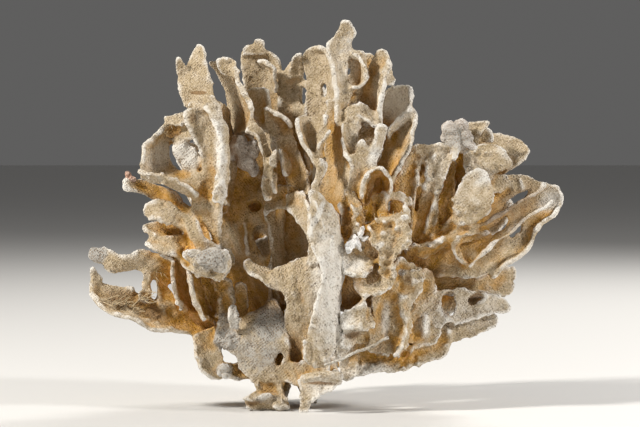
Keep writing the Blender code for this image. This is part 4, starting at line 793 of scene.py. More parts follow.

# ---------------------------------------------------------------- tall spire and right crown
# The tallest spire and the scooped fronds to its right, each with a thick pale rim round a dished face. They
# grew last and stand high and clear of the rest, where the painted shade is faintest, so they are the palest.

crown_fronds = [
    # the crown blade
    grow_frond((-4, 50, 2, 0.4, 50, -2), (-4.4, 56, 3.4, 1.6, 56, -3), (-4.4, 61, 3.4, 2.2, 61, -4),
        (-4.4, 66, 4, 1.8, 66, -3), (-4.9, 69.6, 4, 1.4, 69.2, -2), (-4.6, 71.4, 4, 0, 71.2, 0),
        (-3.4, 72.4, 3.6, -1, 72.2, 1), holes=[(-0.2, 64, 0.35, 1.6, -8)], cup=0.3),
    # the long ochre channel below it
    grow_frond((0.2, 62, -1, 2.4, 62, -5), (-0.2, 56, -1, 3.2, 56, -6), (-0.4, 51, -2, 4, 51, -8),
        (-0.8, 46, -3, 4.4, 46, -9), (-2, 41.6, -4, 3.6, 41.6, -9), (-2, 36, -4, 3, 36, -9)),
    # the tall spire and its rim
    grow_frond((1.8, 56, -8, 3.6, 56, -5), (1.8, 60.4, -7, 4.2, 60.4, -4.5), (1.9, 64, -6.5, 5.1, 63.6, -4.5),
        (1.4, 66.6, -6, 3.9, 67, -4), (0.6, 69.4, -5, 4.1, 70, -3.5), (0, 72.6, -4, 5, 72, -3),
        (1.3, 74.2, -3.5, 4.6, 74, -3), (2.2, 75.6, -3, 5.8, 75.5, -2.5), (2.6, 78, -3, 4.2, 77.9, -3)),
    grow_frond((2.9, 57, -8.5, 4.1, 57, -5), (3.2, 54, -9.5, 4.4, 54, -6), (3.7, 51.6, -10, 5, 51.6, -7),
        (4.4, 49.6, -10.5, 5.7, 49.2, -8)),
    # the ring: its back wall, its rim and two white lobes
    grow_frond((2.8, 61, -2, 6, 61, -2), (3.6, 64.6, -2, 7.2, 64.4, -2), (3.5, 68, -2, 7.8, 68, -2),
        (4, 71.6, -2, 7.2, 71, -2), holes=[(4.25, 67.8, 0.35, 1, 0)]),
    grow_frond((4.6, 71.4, -4, 5, 72.2, -1), (6.8, 70.2, -5, 7.3, 71.2, -1), (7.5, 67.6, -6, 8.2, 67.8, -1),
        (7.2, 65.2, -6, 7.9, 65, -1), (6, 63.9, -6, 6.2, 63.4, -2), (4.9, 64.4, -6, 4.6, 64, -3)),
    grow_frond((4.8, 70, -3.4, 7.3, 69.6, -3.4), (5, 72.1, -3.2, 7.2, 71.2, -3.2)),
    grow_frond((7.2, 61.6, 0.6, 9.4, 61.6, -2.4), (7.2, 67.6, 2, 9.7, 67, 0.6),
        (7.4, 71.4, 2.6, 9.7, 70.8, 2), cup=0.3),
    # the blade with the white right rim
    grow_frond((8.2, 55, 0, 10.4, 55.6, -6), (8.4, 58.4, 1, 10.3, 58.4, -7), (6.6, 61.4, 1, 10.7, 61.4, -7),
        (5.6, 64.2, 1, 11.3, 65, -6.5), (8.2, 67.2, 1, 12.3, 68, -5), (9, 70.2, 0.5, 12.3, 70.4, -3.5),
        (10, 71.7, 0, 11.8, 71.9, -2)),
    grow_frond((11.4, 68.3, -5, 12.5, 68.4, -3), (11.3, 66.4, -5.5, 14, 65.7, -3),
        (11.2, 64.8, -5.5, 13.6, 64.8, -4)),
    # the next blade out
    grow_frond((9.8, 52, 1, 12.4, 53, -2), (10.6, 56, 0, 13, 56.4, -3), (10.2, 58.8, -0.6, 15.4, 59.4, -4),
        (10.8, 61.4, -0.6, 17, 61.4, -4.4), (12.2, 64.2, -0.4, 17.2, 63.4, -3.6),
        (14.8, 64.4, -1, 16.8, 64.4, -2.6), cup=0.32, ragged=0.7),
    # the outermost blade, with the slit along it
    grow_frond((11.2, 43, -5, 12.4, 43.4, -8.5), (11.4, 46.8, -3, 13.7, 47, -8),
        (10.9, 49.6, -2, 15.2, 49.6, -7.5), (11.5, 52.4, -1, 17, 52.4, -7), (14.4, 55, -1, 17.4, 55.6, -6),
        (16, 58, -1, 18.1, 58.2, -5), (16.2, 60.2, -2, 17.4, 60.4, -4)),
    grow_frond((17.2, 60.6, -5, 16.6, 58.4, -3), (14.8, 59, -4, 15, 57.2, -3), (12.6, 57, -4, 13.2, 55.3, -3),
        (11.6, 55.6, -4, 12.2, 54.2, -3)),
    # the crusty web round the lens
    grow_frond((4.6, 58.4, -6.5, 6.2, 61.7, -5.5), (8, 57.6, -7, 9, 59.4, -5),
        (9.8, 56.2, -7, 10.8, 57.6, -6)),
    grow_frond((3.8, 60.4, -6, 6.8, 60.6, -6), (4, 57, -7, 6.9, 57, -6), (4.2, 54, -8, 5.9, 54.2, -7),
        (4.4, 50.6, -8.5, 6.2, 51.2, -8)),
    grow_frond((5, 50, -4, 9.4, 50, -4), (5.2, 53.6, -3, 10, 53.6, -3), (6, 57.6, -3, 10.4, 57.4, -3)),
    # the two fingers
    grow_frond((5.9, 50, -9, 7.6, 50, -9), (6.1, 52.2, -10, 7.4, 52.4, -10),
        (6.5, 53.8, -10, 7.1, 53.8, -10)),
    grow_frond((7, 48.4, -9, 9.9, 48.6, -9), (7.8, 51.4, -10, 10.7, 52, -9), (9.4, 54, -10.5, 11.7, 54.6, -9),
        (10.4, 57, -10, 12, 56.8, -9)),
    # the cream body and the hook below the fingers
    grow_frond((3.6, 41, -8, 7, 41, -8), (4, 44.6, -9.5, 8, 44.6, -9.5), (4.4, 48, -10, 9, 47.6, -10),
        (5, 51.4, -9.5, 9.6, 50.6, -9.5)),
    grow_frond((6.5, 41, -9, 7.9, 41, -5), (7, 44.8, -11, 8.6, 44.5, -6), (8.8, 47.8, -12, 9.2, 46.3, -6),
        (11, 48, -11.5, 10.8, 46.5, -6), (12.8, 46.2, -10.5, 11.7, 45.2, -6),
        (12.4, 43.6, -10, 11.4, 43.4, -6), rim=0.8),
    grow_frond((6.6, 37, -3, 9.8, 37, -3), (6.8, 41, -3, 11.2, 41, -2.5), (8.4, 45.4, -3, 12.2, 45.4, -2.5),
        (9, 49, -2, 12, 49, -2)),
]

fuse("crown", crown_fronds, ["crown_centre", "crown_right"], crumbs=[((5, 57, -7), (1.4, 3.6, 1), 30),
    ((10.4, 66, -6), (1.4, 1.6, 1), 12)], seed=17)

# ---------------------------------------------------------------- web right of the trunk
# The crumbling web between the trunk and the fan, with its horseshoe ledge, the ridge under it and the low
# triangle. Its walls have rotted to lace and are full of crumbs.

web_fronds = [
    # the bar and its strut
    grow_frond((8.6, 42.8, -7.5, 8.8, 41.1, -7.5), (11.6, 43.9, -8, 11.8, 42.2, -8),
        (14.6, 43.2, -8, 14.4, 41.6, -8), (17, 42, -6, 16.4, 40.6, -6)),
    grow_frond((10.8, 42.6, -8, 12.2, 42.8, -8), (10, 38.4, -9, 11.6, 38.2, -9)),
    # the crumbly plate and its column
    grow_frond((10.8, 25, -12, 12.8, 25, -12), (11, 28.4, -12.8, 12.6, 28.6, -12.8),
        (11.2, 30.4, -13.8, 12.8, 30.2, -13.8), (10.2, 32.4, -14, 14, 31.8, -14.6),
        (8.6, 34.2, -13.2, 16.6, 33.8, -14.6), (8, 36.4, -12, 15.6, 36.2, -14.6),
        (9.4, 37.8, -11.4, 15.2, 38.4, -14), holes=[(11.9, 34.5, 0.75, 0.6, 0), (14.2, 35.6, 0.6, 0.75, 20)],
        cup=0.12, rim=0.8, ragged=1.0),
    grow_frond((10.2, 38, -12.6, 14.6, 38.6, -13.4), (10.4, 38.6, -9, 14.8, 39, -9),
        (10.6, 38.4, -4, 15, 38.6, -4)),
    grow_frond((14.9, 37.6, -13.2, 16.1, 37.6, -13), (15.2, 39.8, -12.4, 16.2, 39.8, -12.2),
        (15.4, 41.6, -10, 16, 41.6, -10)),
    # the crumbly pillar to its left
    grow_frond((3.4, 44, -9.5, 5.4, 43.6, -9), (4.6, 40.6, -11, 6.6, 40, -9.5),
        (4.9, 37.4, -12, 6.9, 37, -11), (4.6, 34.4, -12.6, 7.2, 34.2, -12),
        (4.4, 31.8, -12.4, 7.4, 31.6, -12), (6, 27, -11, 9.8, 27, -11)),
    grow_frond((2.5, 41.6, -10, 3.1, 41.8, -9), (2.8, 39, -10.5, 3.9, 39.2, -9.5),
        (3.2, 36.6, -10.5, 3.9, 36.8, -9.5)),
    # the pale broken bone of a plate below the white chunks
    grow_frond((2.4, 32, -12, 3, 28, -14.6), (4.6, 32.2, -11.8, 4.8, 27.2, -15.2),
        (6.8, 31.4, -12, 7, 27.2, -15), (8.8, 30, -12.6, 9.2, 28.2, -13.6)),
    # the horseshoe ledge
    grow_frond((5, 28.4, -12.5, 6.8, 28.4, -12), (5.2, 25.4, -14, 7.2, 26, -13),
        (6.8, 22.8, -15.5, 8, 25.2, -13.5), (10, 23.4, -15, 10, 25.8, -13), (12.8, 25, -14, 12, 27.2, -12.5),
        (13.9, 27.6, -13, 12.6, 29, -12)),
    # the deep ochre wall behind the web
    grow_frond((1.6, 19, -3, 14, 19, -3), (2, 26, -3, 14.6, 26, -2), (2.4, 33, -4, 15.6, 33, -2),
        (2, 40, -4, 16, 40, -1)),
    # the crumbly lump and the ridge that winds down from it
    grow_frond((13.6, 30.4, -10, 16.6, 29.4, -9), (13.5, 27.6, -11, 18.9, 27.8, -10),
        (13.3, 25.2, -11.5, 19.3, 24.5, -10), (14, 22.8, -12, 17.2, 22.8, -10.5),
        (14.7, 20.2, -12, 16.1, 20, -9), (15.6, 17.8, -12.5, 17.2, 17.2, -9), (14.8, 14.2, -13, 16, 14.6, -9),
        (13.4, 10.8, -13.5, 14.2, 11, -9)),
    # the two ochre walls it stands on
    grow_frond((8, 12, -13, 15, 11.4, -11.4), (8.2, 16, -12.2, 15.4, 16, -11),
        (8.6, 20, -11.4, 15.4, 20, -11), (9.2, 24.6, -11.6, 14.2, 25, -11.4)),
    grow_frond((14.6, 13, -9, 22, 13, -6), (15, 18, -9, 23, 18, -5), (15, 23, -8.6, 22, 23, -4),
        (14, 28, -8, 21, 28, -3), holes=[(16.6, 20.4, 1.1, 0.9, 20)]),
    # the triangular plate in front
    grow_frond((2.2, 19.4, -14, 2.6, 16.4, -15), (4.8, 20.6, -15, 4.8, 16.2, -16),
        (7, 22.3, -15, 7.2, 16, -15.5), (8.2, 20.6, -13.5, 9.6, 17.2, -13)),
    grow_frond((2, 13, -14, 3.4, 16.6, -15), (4, 12.8, -14, 5, 16.6, -14), (8, 14.4, -11, 8.6, 17, -12)),
    # the pale frill in the middle of the web
    grow_lump((16.6, 26.6, -10.8), (2.5, 1.6, 1.0), 10, lumpy=0.9),
    # the low triangle runs on behind the blade
    grow_frond((0.4, 18.2, -13.8, 4, 18.4, -13.2), (0.2, 14.6, -14, 4.4, 14.6, -13.6),
        (0.4, 11, -14, 4, 11, -13.2), rim=0.7),
]

web = fuse("web", web_fronds, ["right_web", "web_back", "right_ridge", "front_triangle"], crumble=0.75,
    ease=1, roughness=0.6, crumbs=[((12, 35.6, -14), (4.2, 3.2, 1.2), 130),
    ((6, 37.6, -11.5), (1.6, 4, 1.6), 50), ((11.6, 28, -13), (1.6, 3, 1.2), 50),
    ((16.4, 26.6, -10.6), (2.8, 2, 1.4), 60), ((15.6, 18, -10), (1.4, 6, 2), 30),
    ((3, 14, -14.6), (1.4, 1.4, 1), 24)], seed=7)

# ---------------------------------------------------------------- right fan
# The fan on the right: overlapping leaves, a round disc and the long outer fronds with their slots.
# Each leaf is a wall of its own, fused to its neighbour along one edge.

fan_fronds = [
    # the leaf beside the crown, and the ragged bridge on its top
    grow_frond((11.6, 36, -3, 17, 34, -4), (12.4, 42, -4, 17.4, 41, -4.5), (14, 46.4, -4, 18, 45.4, -4),
        (15.4, 49.4, -3.5, 18.3, 49.4, -3.5), (16.8, 52.4, -3, 20.4, 51.6, -3)),
    grow_frond((17, 52.5, -4, 17.8, 50.4, -3), (20, 52.8, -4, 20, 50.5, -3), (22.6, 53.1, -4, 22.8, 50.6, -3),
        (25.8, 52.4, -4, 25.4, 50.6, -3)),
    # the granular plate beyond the slot
    grow_frond((15.8, 33.6, -3, 20.6, 33, -3.4), (17.6, 38, -3, 22.2, 38, -4), (19, 43, -3.4, 22.8, 42.6, -4),
        (19.7, 47, -3.6, 23.2, 46.8, -4), (19.9, 51, -3.4, 24.6, 50.6, -3.4)),
    # the sheet behind them both
    grow_frond((14.6, 30, -0.4, 23, 29, -1), (16, 36, -0.6, 25, 35, -1), (16.6, 43, -0.8, 26, 42, -1.2),
        (16.8, 48, -1, 26, 47, -1.6), (17, 51.6, -1.6, 26, 51, -2)),
    # the ochre channel and its upper lobes
    grow_frond((17, 34, 1, 26, 34, 0), (20, 41, 1, 27, 40, 0), (22, 46, 1, 28.4, 45.6, 0),
        (24.6, 50, 0, 29.4, 49.6, -1), (26, 53.6, 0, 30.4, 53.4, -1)),
    grow_frond((24.6, 53.4, -4, 26, 53.4, -4), (24.9, 51.8, -5, 26, 51.8, -5),
        (25.1, 49.9, -5, 25.7, 49.9, -5)),
    # the horn under the grey crust, and the lobe beside it
    grow_frond((23.2, 51.6, -1, 28.6, 51, -1), (23.3, 54.6, -1, 30.4, 54, -1), (25, 57, -1, 31, 55.6, -2),
        (28.6, 57.1, -1, 32.6, 56.8, -2), (31.4, 57.9, -2, 32.8, 57.7, -2)),
    grow_frond((30.4, 53.6, 0, 32.8, 53.4, 0), (31.2, 55, 0, 33.1, 55, 0), (31.9, 56.4, 0, 32.7, 56.2, 0)),
    # the brown back leaf
    grow_frond((29, 52, 4, 31, 45, 4), (31.4, 54.8, 4, 33.4, 46.4, 3), (34, 55.1, 4, 35.6, 47, 2),
        (37, 54.5, 4, 37.4, 47.8, 1.5), (39.5, 53.6, 4, 39, 49, 1.5), (41.3, 51.4, 3, 40.7, 50.4, 2),
        cup=0.04, rim=0.75, ragged=0.5),
    # the speckled leaf in front of it
    grow_frond((26.8, 51, -3, 28.4, 46.4, -3), (30.3, 53.2, -4, 31.6, 46, -3), (33.9, 52.8, -4, 34, 46.8, -3),
        (36, 50.9, -4, 35.6, 47.9, -3), (37.5, 49.3, -4, 37, 48.6, -3), cup=-0.06, rim=0.8, ragged=0.6),
    # the white patch that joins it to the outer plate
    grow_frond((29.4, 49, -3.6, 30.4, 45.4, -3.6), (33, 47, -2, 33, 42.6, -3), (36.6, 47, -1, 36, 43.4, -1)),
    # the round pale disc, and the ridge that it grows from
    grow_frond((25, 38.4, -4.4, 26.8, 36.2, -4.6), (25.3, 41.2, -5.4, 30.4, 37.4, -5.8),
        (25.8, 43.6, -6, 32.3, 39.6, -6.8), (27, 46, -6.2, 33.2, 42.4, -7),
        (28.6, 47.6, -6, 32.9, 44.8, -6.6), (30.2, 48, -5.8, 32, 46.8, -6), cup=-0.05),
    grow_frond((17, 31.4, -4, 19, 29.8, -3.4), (22.4, 36, -4, 25, 33.4, -4),
        (26.6, 40.8, -4.4, 29.4, 37.6, -4.6)),
    # the long outer plate, pierced by three slots
    grow_frond((14, 32, -2, 17, 26, -2), (20, 35.4, -2, 24, 26.4, -3), (26, 38.6, -2, 30, 26.6, -4),
        (31.4, 42, -1, 35.6, 28.2, -4), (36.2, 47.1, 0, 40.4, 31.8, -3), (40.2, 46.4, 1, 42, 36, -1),
        (43.4, 45, 1, 44.6, 38.2, 0), (46.5, 44.5, 1, 47.8, 41.4, 1),
        holes=[(38.1, 41.9, 3.7, 0.85, -36), (34.5, 36.3, 3.1, 0.75, -40), (38, 35.6, 2.1, 0.65, -40)],
        cup=0.07),
    # its bright lower rim, turned outwards
    grow_frond((33.2, 25.6, -4, 31.6, 28, -2), (35.4, 28.5, -5.5, 34.4, 30, -2.5),
        (38.2, 30, -5, 37, 31.4, -2), (40.3, 32.2, -4.5, 39, 33, -1), (41.4, 35.3, -3.5, 40.2, 35.6, 0),
        (44.4, 38.2, -2.5, 43.4, 39, 1), (47, 40.3, -1.5, 46, 41, 1.5)),
    # the folded rim over the small hollow
    grow_frond((29, 28.4, -4, 30.4, 29, -3), (26, 30.6, -6, 27.6, 29, -4), (24.6, 33.8, -7, 26.2, 33, -5),
        (28.2, 34.7, -6, 28.6, 33.4, -4), (32.6, 35.8, -4, 33.2, 34.6, -2), cup=0.25, rim=0.7),
    # the long ridge above it
    grow_frond((15.6, 32, -6, 16, 30.8, -3), (20, 33, -6.5, 20.4, 31.8, -3), (23.4, 34, -6, 23.8, 32.8, -3),
        (26.4, 35.9, -5, 26.8, 35, -2), (29.4, 37.4, -4, 29.8, 36.6, -1)),
    # the upper torn plate
    grow_frond((20, 27.8, -1, 19, 22, -2), (26, 26.4, -1, 25.4, 22.4, -2), (31, 26.2, 0, 30.6, 22.4, -1),
        (34.6, 27.4, 1, 34.6, 22.2, 0), (38.2, 28.5, 2, 38, 22.7, 1),
        holes=[(21.8, 27, 1.3, 0.8, 0), (37.4, 25.3, 0.9, 0.3, 0)], ragged=0.6, rim=0.9),
    # the low ribs that run out along the outer plate
    grow_rib((19, 35, -4), (22, 42, -4.4), (24.6, 48, -4), (25.6, 53.6, -4.4), radius=0.5, taper=0.8),
    grow_rib((20.4, 33, -4.6), (24, 34.4, -5), (28, 37, -4.8), (30, 38.4, -4.6), radius=0.6, taper=0.5),
    # two low ridges along the outer plate
    grow_rib((18, 31.4, -5.2), (25.6, 34, -5.2), (33.4, 38.2, -4.9), (41, 42.6, -2.8), (43.8, 44.4, -1.2),
        radius=0.5, taper=0.8),
    grow_rib((28.4, 28.4, -6), (32.6, 32.6, -5.5), (37.4, 36.4, -4.7), (42, 39.4, -3.2), (45.4, 41.6, -1.4),
        radius=0.46, taper=0.8),
]

fan = fuse("fan", fan_fronds, ["ragged_leaf", "right_inner_fan", "back_leaf", "speckled_leaf", "round_disc",
    "right_outer_fan", "torn_plate"], crumbs=[((21, 47, -4), (3.4, 4.4, 1), 50),
    ((25.5, 52, -4), (1, 2, 1), 12), ((31.5, 49.5, -4), (4, 3, 1), 26), ((26, 39, -6), (1.6, 3, 1), 20),
    ((22, 33.4, -6), (5, 1.4, 1), 30), ((40, 44.5, -1), (4, 1.6, 1), 14)], seed=9)

# ---------------------------------------------------------------- lower right skirt
# The skirt of wide plates along the lower right, broken off short at its outer edge. The plates are limestone
# walls that lie over each other like shingles, fused at their inner ends.

skirt_fronds = [
    # the middle and lower torn plates
    grow_frond((20, 23, -4, 20.5, 16, -6), (23.4, 23.6, -4, 24, 17, -6), (28, 24, -3.4, 28, 17.4, -5),
        (32, 23.4, -2.6, 31.6, 18.8, -4), (35.5, 21.8, -2, 35, 19.4, -3), (36.5, 20.4, -2, 36.1, 19.6, -2),
        holes=[(24.3, 20.9, 1.5, 2.4, 12), (29.8, 22.1, 1.8, 0.85, -30)], ragged=0.6, rim=0.9),
    grow_frond((22, 18.4, -3, 24.6, 13.7, -4), (27, 18.4, -2.4, 27.6, 13.6, -4), (31, 19, -1.4, 31, 15.4, -3),
        (34, 18.6, -1, 33.7, 16.3, -2), ragged=0.6, rim=0.8),
    # the big front bowl and its lip
    grow_frond((1.6, 12.6, -11, 3.2, 5.8, -10), (6, 14, -10, 5.8, 7.4, -11), (10, 15, -8.5, 9.6, 7.8, -11),
        (14.6, 16, -6.5, 15, 7.9, -10), (19, 17, -5, 19.4, 9.6, -8), (22.6, 17, -4, 23, 10.3, -6),
        (25, 15.4, -4, 24.5, 12.4, -5)),
    grow_frond((9.6, 11.4, -10.6, 9.6, 8.4, -2), (15.6, 12, -9.2, 15.6, 9, 0), (21, 14, -6.4, 21.6, 11.6, 2)),
    # the soft white fold
    grow_frond((19.5, 18.8, -7.8, 19.9, 18.6, -5), (19.3, 17, -8.2, 20, 17, -5),
        (19.3, 15.2, -7.8, 20, 15.2, -5)),
    # the wall behind the skirt's outer hole
    grow_frond((26, 23.6, -2.6, 26, 18.6, -3.6), (29.6, 24.2, 0.2, 29.6, 19, -0.6),
        (33, 23.6, -1.6, 33, 19.6, -2.4), rim=0.8),
]

fuse("skirt", skirt_fronds, ["right_skirt"], crumbs=[((12, 10, -10), (8, 2, 1.6), 40),
    ((24, 15, -5), (3, 2, 2), 16)], seed=11)

# ---------------------------------------------------------------- fronds at the back, left
# The plain fronds that fill the colony out behind on the left. They are grown from the stalk like the rest, a
# little thicker and more ragged, and fork near their ends.

def grow_stem(*stations, holes=(), cup=0.16):
    """A frond at the back, a little thicker and more ragged than those in front."""
    return grow_frond(*stations, holes=holes, cup=cup, rim=1.15, ragged=0.8)


def grow_spur(*stations):
    """A short spur or lobe on a frond at the back."""
    return grow_frond(*stations, rim=1.0, ragged=0.7)


back_left_fronds = [
    # the stem that leans out behind the knee
    grow_stem((-13, 9, 9, -6, 12, 14), (-17, 19, 12, -9.6, 21, 17), (-20.6, 31, 13, -12.6, 32, 19),
        (-22.6, 41, 14, -15.6, 42, 20), (-23.4, 50, 15, -18, 51, 21), (-24.6, 56, 16, -20.6, 57, 20),
        holes=[(-22.8, 57, 0.7, 3.4, -8), (-19, 45.5, 0.9, 2.4, -10)]),
    # its inner branch
    grow_stem((-18.6, 44, 17, -13, 43, 19), (-17, 52, 18, -11.6, 51, 21), (-16, 59, 18, -10.6, 58, 21),
        (-15.2, 66, 17, -10.4, 65, 19), (-14.2, 71, 16, -12, 70.4, 17), holes=[(-14, 59, 0.8, 2.2, 0)],
        cup=0.2),
    # a plate along its length that faces the side
    grow_stem((-18, 17, 2, -18.6, 16.4, 8), (-22, 26, 2.6, -23, 25.4, 9), (-23.6, 35, 3.6, -25, 35.4, 10),
        (-22, 45, 5, -23.6, 45.4, 10.4), (-20.6, 54, 6, -21.6, 54, 10)),
    grow_stem((-18.6, 16.4, 6.6, -19.4, 16, 12.6), (-23.2, 25.6, 8, -24.6, 25, 14.6),
        (-26.4, 35, 9.6, -27.6, 35, 15.6), (-26.4, 44, 11.4, -27.6, 44, 17), (-25, 51.4, 12, -25.8, 51, 15.6),
        cup=0.2),
    grow_stem((-19.6, 26, 18, -16, 28, 20), (-22.6, 30, 22, -18.6, 33, 23), (-24, 36, 24, -20.4, 37.6, 25)),
    grow_stem((-24, 35, 15, -21, 38, 17), (-27, 38, 20, -23.4, 41, 21), (-26.4, 44, 23, -23.6, 45, 24),
        cup=0.2),
    # the left low frond and its web
    grow_stem((-15.4, 33, 15, -13.6, 27, 17), (-11, 33.6, 19, -11.6, 28, 21),
        (-18, 31.4, 26, -18, 27.6, 25.6)),
    grow_stem((-12, 8, 11, -8, 6, 14), (-17.6, 14, 17, -11.6, 12, 21), (-21.6, 22, 21, -14.6, 21, 26),
        (-22.4, 30, 23, -16, 30.6, 28), (-21, 37, 22, -17, 37, 27),
        holes=[(-19, 37.2, 0.8, 3.2, 0), (-18.4, 25, 0.9, 2.4, 0)], cup=0.2),
    # the middle one of three low fronds that bow out at the back
    grow_stem((-8, 6, 13, -0.6, 6, 15), (-9, 14, 19, 1, 14, 21), (-8.6, 24, 24, 2, 24, 26),
        (-7.6, 34, 27, 2, 34, 28.4), (-6, 41, 28, 0.4, 41, 28.4), holes=[(-2.8, 41.2, 0.9, 3.6, 0),
        (-3.4, 24, 1.1, 2.8, 0)]),
    # a plate in depth under the left crown
    grow_stem((-9.6, 42, 6, -11, 42, 18), (-10.6, 50, 7, -12, 50, 18), (-12, 58, 8, -13.4, 58, 17),
        (-13, 65, 8, -14, 65, 14)),
    # spurs and lobes along the backs of the fronds
    grow_spur((-22, 41, 15, -20, 44, 17), (-25.6, 46, 17, -23, 48, 18), (-28, 50.6, 17, -26.2, 52, 17)),
    grow_spur((-21, 27, 23, -18.6, 24, 24), (-25, 30.6, 24, -22, 27.6, 25),
        (-27.6, 34, 23.6, -25.6, 32.4, 24.4)),
    grow_spur((-6, 20, 24, -3, 17, 24), (-10.4, 24.6, 27, -7.2, 22.4, 28), (-13, 30, 28, -10.4, 29, 28.4)),
    grow_spur((-14.6, 57, 18, -12, 60, 19), (-18.4, 61, 19.6, -15.6, 62.6, 20),
        (-20, 65.4, 19, -18.6, 66, 19)),
    grow_spur((-1, 28, 26, 1.6, 26, 26), (1.6, 33, 28, 4.6, 31.6, 28), (3.4, 37.6, 28.6, 5.4, 37, 28.4)),
    # lobes on the side of the deep plate
    grow_spur((-22.6, 25, 6, -23.2, 25, 11), (-27, 29, 5, -27.6, 29.6, 10), (-29.6, 34.6, 5.4, -30, 35, 8.6)),
    grow_spur((-24.4, 37, 8, -25, 37, 13), (-28, 41.6, 8, -28.6, 42, 13), (-29.4, 47, 9, -29.8, 47, 12)),
    grow_spur((-23, 46, 8, -23.4, 46, 13), (-25.6, 51.6, 9, -26, 51.6, 13.4),
        (-26, 56.4, 10, -26.2, 56.4, 12.4)),
]

fuse("rear_left_fronds", back_left_fronds, ["rear_left", "rear_low_left", "rear_low", "rear_fin_left"],
    grain=0.32, ease=2)

# ---------------------------------------------------------------- fronds at the back, right
# The plain fronds behind on the right, leaning out from the stalk. They are the same limestone, forked and
# ragged like those on the left.

